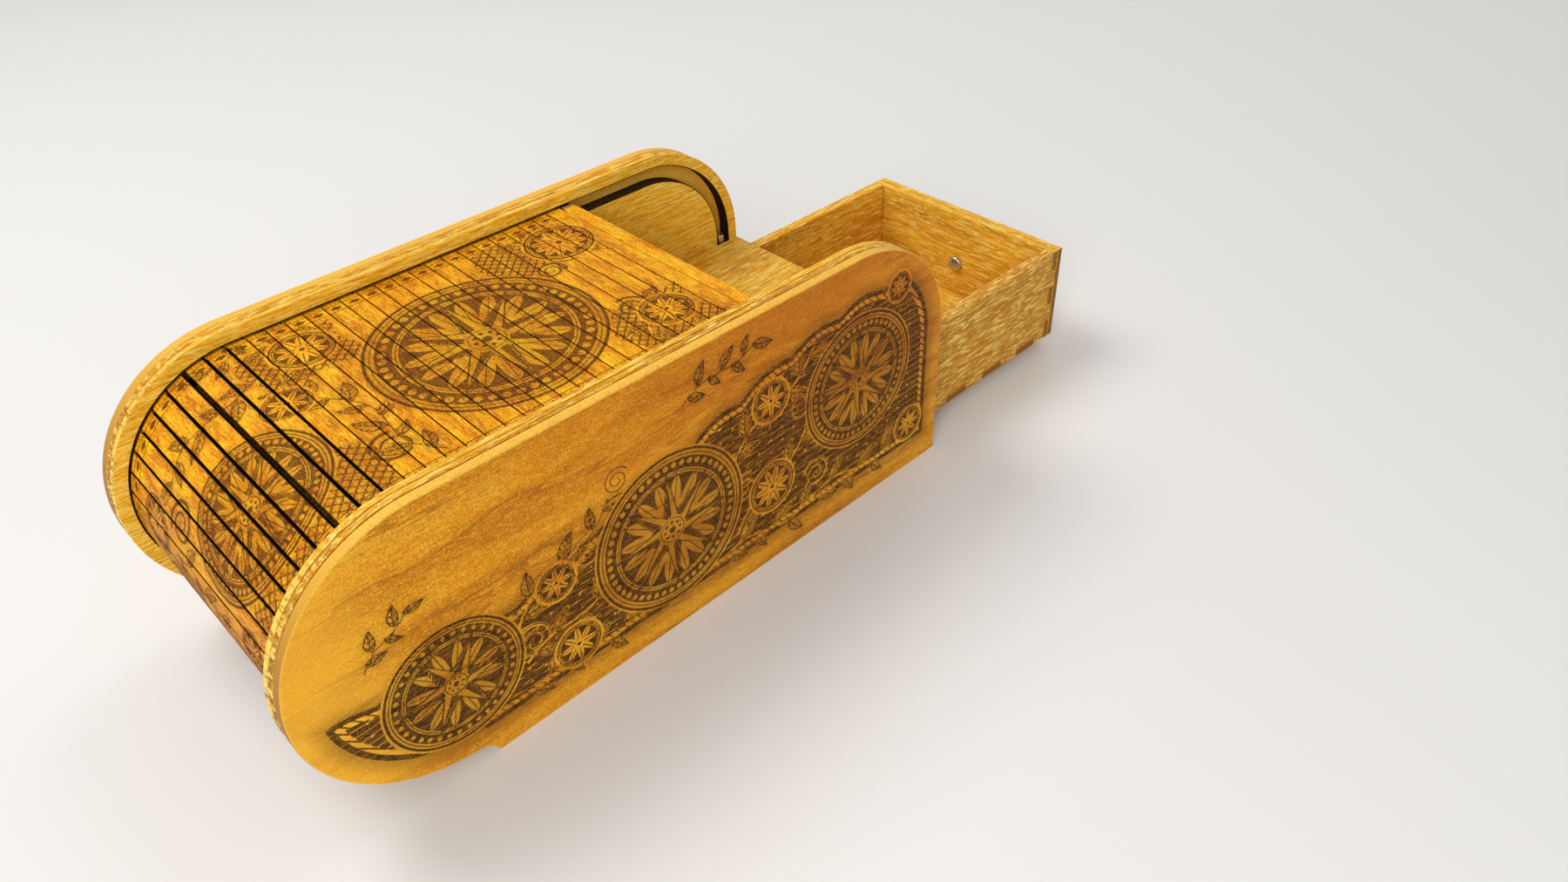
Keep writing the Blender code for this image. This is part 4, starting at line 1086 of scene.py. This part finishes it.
# side, layer, and which sides are glued and hidden: 0 is the lower in y
for side, layer, hidden in (("near", "outer", (0, 1)), ("near", "inner", (0,)),
                            ("far", "inner", (1,)), ("far", "outer", (0, 1))):
    addBoard(f"{side}Liner{layer.title()}", f"{side}_liner_{layer}", "case", [sideOutline(), grooveOutline()],
             "side", oakAlong, 0, linerLook[f"{layer}Tint"], hidden)

for node, name, plane, material, grain in (
        ("compartment_floor", "compartmentFloor", "flat", oakAlong, 0),
        ("bottom_board", "bottomBoard", "flat", oakAlong, 0),
        ("end_wall", "endWall", "end", oakAcross, 1)):
    low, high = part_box(node)
    first, second = {"flat": (0, 1), "end": (1, 2)}[plane]
    addBoard(name, node, "case", [boxOutline(low[first], low[second], high[first], high[second])],
             plane, material, grain, tint=linerLook["floorTint"])
print("case boards made")


# Drawer

drawer = {
    "glueGap": 0.0003, "fingerCount": 5,
    "tabFirst": 0.0178, "tabPitch": 0.02135, "tabLength": 0.0112,   # the bottom's tabs, from the front
    "boreRadius": 0.0018, "boreSteps": 32,
    # the near side's deeper tint is painted shade, where the light falls off towards the right
    "endTint": 0.4, "backTint": 0.0, "nearShadeTint": -0.65, "farTint": 0.2, "bottomTint": 0.2,
}
drawerLow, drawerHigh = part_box("drawer_face")
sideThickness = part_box("drawer_side_far")[1].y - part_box("drawer_side_far")[0].y
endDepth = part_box("drawer_front")[1].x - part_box("drawer_front")[0].x
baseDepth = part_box("drawer_bottom")[1].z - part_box("drawer_bottom")[0].z
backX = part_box("drawer_back")[0].x
knobLow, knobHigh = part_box("drawer_knob")
knobZ = (knobLow.z + knobHigh.z) / 2


# wide at every other finger, counted from the lowest
def drawerEndOutline():
    gap = drawer["glueGap"]
    count = drawer["fingerCount"]
    levels = np.linspace(drawerLow.z, drawerHigh.z, count + 1)
    index = np.arange(count)
    isFinger = index % 2 == 0
    reach = np.where(isFinger, drawerHigh.y, drawerHigh.y - sideThickness - gap)
    inset = np.where(isFinger, gap / 2, -gap / 2)
    low = levels[:-1] + np.where(index > 0, inset, 0.0)
    high = levels[1:] - np.where(index < count - 1, inset, 0.0)
    right = np.stack([np.repeat(reach, 2), np.stack([low, high], 1).ravel()], 1)
    return np.concatenate([right, right[::-1] * (-1, 1)])


# evenly spaced from the front to the back
def tabPlaces():
    first = drawerHigh.x - drawer["tabFirst"]
    last = backX + endDepth + drawer["tabLength"]
    return np.arange(first, last, -drawer["tabPitch"])


# fingers at both ends and a notch over every tab of the bottom
def drawerSideOutline():
    gap = drawer["glueGap"]
    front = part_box("drawer_side_far")[1].x
    shortFront = front - endDepth - gap
    shortBack = backX + endDepth + gap
    reach = drawer["tabLength"] / 2 + gap / 2
    notch = drawerLow.z + baseDepth + gap
    tabs = tabPlaces()[::-1]
    foot = np.stack([np.stack([tabs - reach, tabs - reach, tabs + reach, tabs + reach], 1).ravel(),
                     np.tile([drawerLow.z, notch, notch, drawerLow.z], len(tabs))], 1)
    levels = np.linspace(drawerLow.z, drawerHigh.z, drawer["fingerCount"] + 1)
    edge = [(shortFront, drawerLow.z)]
    for index in range(1, drawer["fingerCount"], 2):
        low, high = levels[index] + gap / 2, levels[index + 1] - gap / 2
        edge += [(shortFront, low), (front, low), (front, high), (shortFront, high)]
    edge.append((shortFront, drawerHigh.z))
    edge = np.array(edge)
    back = edge[::-1].copy()
    back[:, 0] = np.where(np.isclose(back[:, 0], shortFront), shortBack, backX)
    return np.concatenate([foot, edge, back])


# as wide as the box at every tab and as narrow as the inside between them
def drawerBottomOutline():
    gap = drawer["glueGap"]
    wide = drawerHigh.y
    narrow = wide - sideThickness - gap
    back = backX + endDepth + gap
    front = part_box("drawer_bottom")[1].x
    tabs = tabPlaces()
    half = drawer["tabLength"] / 2
    edge = np.stack([np.stack([tabs + half, tabs + half, tabs - half, tabs - half], 1).ravel(),
                     np.tile([narrow, wide, wide, narrow], len(tabs))], 1)
    far = np.concatenate([[[front, narrow]], edge, [[back, narrow]]])
    return np.concatenate([far, far[::-1] * (1, -1)])


boreAngle = np.linspace(0.0, fullTurn, drawer["boreSteps"], endpoint=False)
bore = (0.0, knobZ) + drawer["boreRadius"] * np.stack([np.cos(boreAngle), np.sin(boreAngle)], 1)
faceOutline = boxOutline(drawerLow.y, drawerLow.z, drawerHigh.y, drawerHigh.z)
for part, loops, plane, material, grain, tint in (
        ("Face", [faceOutline, bore], "end", oakAcross, 1, "endTint"),
        ("Front", [drawerEndOutline(), bore], "end", oakAcross, 1, "endTint"),
        ("Back", [drawerEndOutline()], "end", oakAcross, 1, "backTint"),
        ("SideNear", [drawerSideOutline()], "side", oakAlong, 0, "nearShadeTint"),
        ("SideFar", [drawerSideOutline()], "side", oakAlong, 0, "farTint"),
        ("Bottom", [drawerBottomOutline()], "flat", oakAcross, 1, "bottomTint")):
    node = "drawer_" + part.replace("Side", "side_").lower()
    addBoard(f"drawer{part}", node, "drawer", loops, plane, material, grain, drawer[tint])
print("drawer boards made")


# Turned pieces

# the profile's radius and height carried round an axis, with a single point at each pole
def turnedMesh(name, profile, centre, axis, steps, dent=None):
    profile = np.asarray(profile, float)
    inner = profile[1:-1]
    angle = np.linspace(0.0, fullTurn, steps, endpoint=False)
    a = inner[:, None, 0] * np.cos(angle)[None]
    b = inner[:, None, 0] * np.sin(angle)[None]
    height = np.broadcast_to(inner[:, None, 1], a.shape)
    points = np.stack([height, a, b], -1).reshape(-1, 3)
    points = np.concatenate([points, [[profile[0, 1], 0.0, 0.0], [profile[-1, 1], 0.0, 0.0]]])
    if dent is not None:
        points[:, 0] = dent(points)
    faces = ringFaces(len(inner), steps, 0).tolist()
    step = np.arange(steps)
    ahead = (step + 1) % steps
    start, stop = len(points) - 2, len(points) - 1
    last = (len(inner) - 1) * steps
    faces += np.stack([np.full(steps, start), step, ahead], 1).tolist()
    faces += np.stack([np.full(steps, stop), last + ahead, last + step], 1).tolist()
    order = {"x": (0, 1, 2), "z": (1, 2, 0)}[axis]
    return closedMesh(name, points[:, order] + np.array(centre), faces)


knob = {"radius": 0.0060, "length": 0.0125, "neckRadius": 0.0036, "neckLength": 0.0035, "waist": 0.0005,
        "boreRadius": 0.0018, "boreDepth": 0.0070, "foot": 0.0003, "steps": 64, "ballSteps": 20,
        "neckSteps": 8}


# a ball head as most of an ellipse, a neck whose waist is a half sine, and a bored foot
def knobProfile():
    ball = (knob["length"] - knob["neckLength"]) / 2
    least = math.asin(knob["neckRadius"] / knob["radius"])
    angle = np.linspace(0.0, halfTurn - least, knob["ballSteps"])
    head = np.stack([knob["radius"] * np.sin(angle), knob["length"] - ball * (1 - np.cos(angle))], 1)
    share = np.linspace(0.0, 1.0, knob["neckSteps"])[1:]
    waist = knob["neckRadius"] - knob["waist"] * np.sin(halfTurn * share)
    neck = np.stack([waist, head[-1, 1] * (1 - share) + knob["foot"] * share], 1)
    foot = [[knob["neckRadius"] - knob["foot"], 0.0], [knob["boreRadius"], 0.0],
            [knob["boreRadius"], knob["boreDepth"]], [0.0, knob["boreDepth"]]]
    return np.concatenate([head, neck, foot])


mesh = turnedMesh("drawerKnob", knobProfile(), (knobLow.x, 0.0, knobZ), "x", knob["steps"])
dress(mesh, "drawer", [turnedWood], ["drawer_knob"])

screw = {"headRadius": 0.0030, "headLength": 0.0018, "edge": 0.0008, "shankRadius": 0.0014,
         "slotWidth": 0.0008, "slotDepth": 0.0008, "slotWall": 0.00012, "slotAngle": math.radians(40),
         "steps": 128, "domeSteps": 26}
screwLow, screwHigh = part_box("knob_screw")


# the dome is a quarter ellipse over a short straight edge, and the shank runs through the boards
def screwProfile():
    angle = np.linspace(quarter, 0.0, screw["domeSteps"])
    rise = screw["headLength"] - screw["edge"]
    dome = np.stack([screw["headRadius"] * np.cos(angle), -screw["edge"] - rise * np.sin(angle)], 1)
    reach = screwHigh.x - screwLow.x - screw["headLength"]
    shank = screw["shankRadius"]
    return np.concatenate([dome, [[screw["headRadius"], 0.0], [shank, 0.0], [shank, reach], [0.0, reach]]])


# a slot is pressed in where a point of the dome is less than half its width from its middle line
def slotDent(points):
    across = points[:, 2] * math.cos(screw["slotAngle"]) - points[:, 1] * math.sin(screw["slotAngle"])
    wall = screw["slotWall"]
    share = np.clip((screw["slotWidth"] / 2 + wall / 2 - np.abs(across)) / wall, 0.0, 1.0)
    floor = -screw["headLength"] + screw["slotDepth"]
    return np.where(points[:, 0] < floor, points[:, 0] + share * (floor - points[:, 0]), points[:, 0])


mesh = turnedMesh("knobScrew", screwProfile(), (screwLow.x + screw["headLength"], 0.0, knobZ), "x",
                  screw["steps"], slotDent)
dress(mesh, "drawer", [steel], ["knob_screw"])

magnet = {"easing": 0.0002, "steps": 48, "grooveLength": 0.0046}
for node, body, axis in (("near_groove_magnet", "case", "z"), ("far_groove_magnet", "case", "z"),
                         ("near_nose_magnet", "lid_top", "x"), ("far_nose_magnet", "lid_top", "x")):
    low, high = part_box(node)
    along = {"x": 0, "z": 2}[axis]
    length = high.x - low.x if axis == "x" else magnet["grooveLength"]
    radius = (high.y - low.y) / 2
    eased = magnet["easing"]
    profile = [[0.0, 0.0], [radius - eased, 0.0], [radius, eased], [radius, length - eased],
               [radius - eased, length], [0.0, length]]
    centre = (low + high) / 2
    centre[along] = low[along]
    side, place, kind = node.split("_")
    mesh = turnedMesh(side + place.title() + kind.title(), profile, centre, axis, magnet["steps"])
    dress(mesh, body, [steel], [node])
print("turned pieces made")


# Lid

lid = {
    "clothDepth": 0.00825,   # from the case's outline to the cloth
    "pitch": 0.0056, "width": 0.0053, "height": 0.0037, "lift": 0.00015,
    "tongueHeight": 0.0026, "shoulder": 0.0461, "tongue": 0.0507,
    "seamAfter": 22, "seamExtra": 0.0006,   # one gap is wider
    "topCount": 20, "crossCount": 5, "bendCount": 15, "bottomCount": 10, "bendStrips": 3,
    "rounding": 0.00035, "roundSteps": 3, "topSteps": 11, "alongPitch": 0.00050, "endEasing": 0.0003,
    "charFade": 4, "toneStep": 618.0, "toneSpread": 0.06,
}
nose = {"run": 0.1126, "width": 0.0048, "wood": 0.0440, "steps": 60,
        "tongueBack": 0.0001, "tongueWidth": 0.0036, "tongueLow": 0.00035, "tongueHigh": 0.0034}
cloth = {"thickness": 0.0002, "edge": 0.0455, "pitch": 0.0014, "under": 0.00002, "clear": 0.0001,
         "bandClear": 0.00012, "noseClear": 0.0006}
clothRadius = case["leftRadius"] - lid["clothDepth"]


# each slat's middle along the cloth, from the nose: positive on top, negative round the bend and below
def lidRuns():
    count = lid["topCount"] + 2 * lid["crossCount"] + lid["bendCount"] + lid["bottomCount"]
    first = nose["run"] - nose["width"] / 2 - lid["pitch"] + lid["width"] / 2
    index = np.arange(count)
    return first - lid["pitch"] * index - lid["seamExtra"] * (index >= lid["seamAfter"])


# from run, height over the cloth line and y to the box: straight, round the bend, and back below it.
# A slat is stiff, so its points leave the path along the tangent at its middle.
def rollUp(run, height, y, hingeRun=None):
    base = run if hingeRun is None else np.full_like(run, hingeRun)
    aside = run - base
    turn = np.clip(-base / clothRadius, 0.0, halfTurn)
    over = base + turn * clothRadius
    pointX = bendX - np.sin(turn) * clothRadius + np.cos(turn) * over
    pointZ = bendZ + np.cos(turn) * clothRadius + np.sin(turn) * over
    x = pointX + np.cos(turn) * aside - np.sin(turn) * height
    z = pointZ + np.sin(turn) * aside + np.cos(turn) * height
    return np.stack([x, np.broadcast_to(y, x.shape), z], -1)


# a bar's section: a flat top, rounded top corners, straight sides and a flat underside, with the
# share of char at each point
def slatSection(width):
    low, high = lid["lift"], lid["lift"] + lid["height"]
    radius, half = lid["rounding"], width / 2
    angle = np.linspace(0.0, quarter, lid["roundSteps"] + 1)
    right = np.stack([half - radius + radius * np.sin(angle), high - radius + radius * np.cos(angle)], 1)
    left = right[::-1] * (-1, 1)
    top = np.linspace(-half + radius, half - radius, lid["topSteps"])[1:-1]
    top = np.stack([top, np.full(len(top), high)], 1)
    section = np.concatenate([right, [[half, low], [-half, low]], left, top])
    fade = np.linspace(0, 1, lid["roundSteps"] + 1) ** lid["charFade"]
    return section, np.concatenate([fade, [1, 1], fade[::-1], np.zeros(len(top))])


# the section carried across the box; each station scales the section's height, which cuts the tongues
def barPoints(section, low, stations, tops, run):
    u = np.broadcast_to(section[None, :, 0], (len(stations), len(section)))
    height = low + (section[None, :, 1] - low) * tops[:, None]
    y = np.broadcast_to(stations[:, None], u.shape)
    return rollUp(run + u, height, y, run).reshape(-1, 3), (run + u).ravel(), y.ravel()


# the walls between the stations, and a face at each end
def barFaces(stations, count, first):
    sides = ringFaces(stations, count, first).tolist()
    start = list(range(first, first + count))
    stop = list(range(first + (stations - 1) * count, first + stations * count))
    return sides + [start, stop[::-1]]


# places across the box, and the share of the section's height there: low tongues, eased ends, full
def slatStations():
    reach, soft = lid["shoulder"], lid["endEasing"]
    inner = np.linspace(-reach + soft, reach - soft, math.ceil(2 * reach / lid["alongPitch"]))
    stations = np.concatenate([[-lid["tongue"], -reach, -reach], inner, [reach, reach, lid["tongue"]]])
    low = lid["tongueHeight"] / lid["height"]
    edge = 1 - soft / lid["height"]
    tops = np.concatenate([[low, low, edge], np.ones(len(inner)), [edge, low, low]])
    return stations, tops


# a thin band of cloth under one slat, a little narrower than the pitch
def backingSection():
    half = lid["pitch"] / 2 - cloth["bandClear"]
    high, low = -cloth["under"], -cloth["under"] - cloth["thickness"]
    return np.array([[half, high], [half, low], [-half, low], [-half, high]])


# one mesh of the slats at the runs, each with its own tone, and a band of cloth under each if asked
def slatMesh(name, runs, backing):
    section, charShare = slatSection(lid["width"])
    stations, tops = slatStations()
    chars = np.outer(np.abs(stations) <= lid["shoulder"], charShare).ravel()
    ends = np.array([-1.0, 1.0]) * (lid["shoulder"] - cloth["noseClear"])
    bars = []
    for run in runs:
        tone = math.modf(run * lid["toneStep"])[0] * lid["toneSpread"]
        bars.append((section, lid["lift"], stations, tops, run, chars, tone, 0))
        if backing:
            bars.append((backingSection(), 0.0, ends, np.ones(2), run, 0.0, 0.0, 1))
    points, faces, along, across, shares, tones, slots = [], [], [], [], [], [], []
    for outline, low, places, heights, run, char, tone, slot in bars:
        added = barFaces(len(places), len(outline), sum(len(bar) for bar in points))
        place, s, y = barPoints(outline, low, places, heights, run)
        points.append(place)
        along.append(s)
        across.append(y)
        shares.append(np.broadcast_to(char, len(place)))
        tones.append(np.full(len(place), tone))
        faces += added
        slots += [slot] * len(added)
    along, across = np.concatenate(along), np.concatenate(across)
    mesh = closedMesh(name, np.concatenate(points), faces)
    burn, fine = engraveLid(along, across)
    setValues(mesh, "burn", burn)
    setValues(mesh, "fine", fine)
    setValues(mesh, "lay", np.stack([along, across, along * 0], 1) / mm)
    setValues(mesh, "char", np.concatenate(shares))
    setValues(mesh, "board", np.concatenate(tones))
    return mesh, slots


def addSlats(name, node, body, runs, backing=False):
    mesh, slots = slatMesh(name, runs, backing)
    dress(mesh, body, [amber, blackCloth], [node], grain=1)
    mesh.polygons.foreach_set("material_index", slots)


runs = lidRuns()
counts = [lid[name] for name in ("topCount", "crossCount", "bendCount", "crossCount")]
topRuns, upperRuns, bendRuns, lowerRuns, bottomRuns = np.split(runs, np.cumsum(counts))
for index, run in enumerate(topRuns):
    addSlats(f"topSlat{index + 1:02d}", f"top_slat_{index + 1:02d}", "lid_top", [run])
for kind, members in (("upper", upperRuns), ("lower", lowerRuns)):
    for index, run in enumerate(members):
        node = f"{kind}_slat_{index + 1}"
        addSlats(f"{kind}Slat{index + 1}", node, node, [run], backing=True)
for index, members in enumerate(np.split(bendRuns, lid["bendStrips"])):
    addSlats(f"bendSlats{index + 1}", f"bend_curtain_{index + 1}", "lid_bend", members)
addSlats("bottomSlats", "bottom_curtain", "drawer", bottomRuns)


# the nose is a plain bar with steel ends and short steel tongues behind its magnets
def noseMesh():
    reach, soft = lid["shoulder"], lid["endEasing"]
    section = slatSection(nose["width"])[0]
    wood = np.linspace(-nose["wood"], nose["wood"], nose["steps"])
    stations = np.concatenate([[-reach, -reach + soft], wood, [reach - soft, reach]])
    tops = np.ones(len(stations))
    tops[[0, -1]] = 1 - soft / lid["height"]
    parts = [barPoints(section, lid["lift"], stations, tops, nose["run"])[0]]
    faces = barFaces(len(stations), len(section), 0)
    back = -nose["width"] / 2 + nose["tongueBack"]
    front = back + nose["tongueWidth"]
    corners = np.array([[front, nose["tongueHigh"]], [front, nose["tongueLow"]],
                        [back, nose["tongueLow"]], [back, nose["tongueHigh"]]])
    for ends in ((-lid["tongue"], -reach + soft), (reach - soft, lid["tongue"])):
        faces += barFaces(len(ends), len(corners), sum(len(part) for part in parts))
        parts.append(barPoints(corners, 0.0, np.array(ends), np.ones(2), nose["run"])[0])
    mesh = closedMesh("noseSlat", np.concatenate(parts), faces)
    count = len(mesh.vertices)
    setValues(mesh, "burn", np.tile([fields["limit"], 0.0, 0.0], (count, 1)))
    setValues(mesh, "fine", np.full((count, 3), fields["limit"]))
    setValues(mesh, "lay", np.zeros((count, 3)))
    return mesh


mesh = noseMesh()
dress(mesh, "lid_top", [amber, steel], ["nose_slat"], grain=1)
centres = np.empty(3 * len(mesh.polygons))
mesh.polygons.foreach_get("center", centres)
mesh.polygons.foreach_set("material_index", (np.abs(centres[1::3]) > nose["wood"]).astype(int))

# the tail bar has a slat's ends, with nothing engraved between them
low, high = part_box("tail_bar")
tailRun = -(low.x + high.x) / 2 + bendX - halfTurn * clothRadius
section = slatSection(high.x - low.x)[0]
stations, tops = slatStations()
ends = [0, 1, 2, 3, -4, -3, -2, -1]
points = barPoints(section, lid["lift"], stations[ends], tops[ends], tailRun)[0]
mesh = closedMesh("tailBar", points, barFaces(len(ends), len(section), 0))
dress(mesh, "drawer", [oakAcross], ["tail_bar"], grain=1)
print("lid slats made:", len(runs) + 1)


# Cloth: strips that follow the slats' undersides

# a grid along the run and across the box, laid on the path just under the slats
def addCloth(name, body, runStart, runStop, nodes=()):
    length = abs(runStart - runStop)
    s = np.linspace(runStop, runStart, math.ceil(length / cloth["pitch"]))
    y = np.linspace(-cloth["edge"], cloth["edge"], math.ceil(2 * cloth["edge"] / cloth["pitch"]))
    gridS, gridY = np.meshgrid(s, y, indexing="ij")
    points = rollUp(gridS, np.full_like(gridS, -cloth["under"]), gridY).reshape(-1, 3)
    quads = gridFaces(np.arange(gridS.size).reshape(gridS.shape))
    mesh = bpy.data.meshes.new(name)
    mesh.from_pydata(points, [], quads.tolist())
    setValues(mesh, "lay", np.stack([gridS.ravel(), gridY.ravel(), 0 * gridS.ravel()], 1) / mm)
    piece = bpy.data.objects.new(name, mesh)
    bpy.context.scene.collection.objects.link(piece)
    mesh.materials.append(blackCloth)
    mesh.polygons.foreach_set("use_smooth", np.ones(len(mesh.polygons), bool))
    thick = piece.modifiers.new("thickness", "SOLIDIFY")
    thick.thickness = cloth["thickness"]
    thick.offset = -1.0
    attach(piece, body)
    if nodes:
        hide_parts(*nodes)


half = lid["width"] / 2
reach = lid["pitch"] / 2 - cloth["clear"]
addCloth("topCloth", "lid_top", nose["run"] + nose["width"] / 2 - cloth["noseClear"], topRuns[-1] - half,
         ["lid_cloth"])
addCloth("bendCloth", "lid_bend", bendRuns[0] + reach, bendRuns[-1] - reach)
addCloth("bottomCloth", "drawer", bottomRuns[0] + reach, tailRun - half)
print("cloth strips made")


# Camera, light and floor

shot = {
    "azimuth": math.radians(-133.0887), "elevation": math.radians(38.3104), "roll": math.radians(-2.0869),
    "distance": 0.415014, "target": (0.080177, -0.013286, -0.00003), "lens": 26.069, "nearest": 0.01,
}


# a turn about the target by azimuth and elevation, then a roll about the line of sight
def addCamera():
    azimuth, elevation, roll = shot["azimuth"], shot["elevation"], shot["roll"]
    level = math.cos(elevation)
    away = Vector((level * math.cos(azimuth), level * math.sin(azimuth), math.sin(elevation)))
    eye = Vector(shot["target"]) + away * shot["distance"]
    right = (-away).cross(Vector((0, 0, 1))).normalized()
    up = right.cross(-away)
    rolledRight = right * math.cos(roll) + up * math.sin(roll)
    rolledUp = up * math.cos(roll) - right * math.sin(roll)
    view = bpy.data.cameras.new("camera")
    view.lens = shot["lens"]
    view.clip_start = shot["nearest"]
    camera = bpy.data.objects.new("camera", view)
    axes = Matrix((rolledRight, rolledUp, away)).transposed().to_4x4()
    camera.matrix_world = Matrix.Translation(eye) @ axes
    bpy.context.scene.collection.objects.link(camera)
    bpy.context.scene.camera = camera


lamps = {
    "key": {"place": (-0.60, -0.54, 0.54), "size": 0.45, "watts": 4.6, "tone": (1.0, 0.98, 0.94)},
    "back": {"place": (-0.30, 0.56, 1.05), "size": 0.60, "watts": 7.4, "tone": (1.0, 0.98, 0.95)},
    "side": {"place": (0.95, 0.20, 0.90), "size": 0.90, "watts": 3.0, "tone": (1.0, 0.98, 0.95)},
}


# square lamps that look at the box
def addLamps():
    for name, lamp in lamps.items():
        light = bpy.data.lights.new(name, "AREA")
        light.size = lamp["size"]
        light.energy = lamp["watts"]
        light.color = lamp["tone"]
        item = bpy.data.objects.new(name, light)
        item.location = lamp["place"]
        item.rotation_euler = (-Vector(lamp["place"])).to_track_quat("-Z", "Y").to_euler()
        bpy.context.scene.collection.objects.link(item)


floor = {
    "reach": 3.0, "tone": (236, 235, 233), "fleck": 4, "fleckSize": (0.4, 0.4, 0.4), "roughness": 0.85,
    "worldTone": (0.90, 0.91, 0.93, 1.0), "worldLight": 0.36, "worldSeen": 0.85,
}


# a flat pale sheet under the box, very slightly cloudy
def addFloor():
    reach = floor["reach"]
    corners = [(-reach, -reach, 0), (reach, -reach, 0), (reach, reach, 0), (-reach, reach, 0)]
    mesh = bpy.data.meshes.new("floor")
    mesh.from_pydata(corners, [], [(0, 1, 2, 3)])
    material, tree, shader = newMaterial("pale floor")
    place = addNode(tree, "ShaderNodeTexCoord").outputs["Object"]
    cloudy = grainNoise(tree, place, floor["fleckSize"], 2.0)
    soft = colour(*[level - floor["fleck"] for level in floor["tone"]])
    feed(tree, blend(tree, cloudy, soft, colour(*floor["tone"])), shader.inputs["Base Color"])
    shader.inputs["Roughness"].default_value = floor["roughness"]
    mesh.materials.append(material)
    item = bpy.data.objects.new("floor", mesh)
    bpy.context.scene.collection.objects.link(item)


# the world lights softly, and the camera and shiny faces see it as pale as the floor
def addWorld():
    world = bpy.data.worlds.new("studio")
    bpy.context.scene.world = world
    world.use_nodes = True
    tree = world.node_tree
    ground = tree.nodes["Background"]
    rays = addNode(tree, "ShaderNodeLightPath")
    seen = calc(tree, "MAXIMUM", rays.outputs["Is Camera Ray"], rays.outputs["Is Glossy Ray"])
    seen = calc(tree, "MAXIMUM", seen, rays.outputs["Is Transmission Ray"])
    feed(tree, ease(tree, seen, 0.0, 1.0, floor["worldLight"], floor["worldSeen"]), ground.inputs["Strength"])
    ground.inputs["Color"].default_value = floor["worldTone"]


addCamera()
addLamps()
addFloor()
addWorld()
bpy.context.scene.view_settings.view_transform = "Standard"
print("camera, lamps and floor placed")
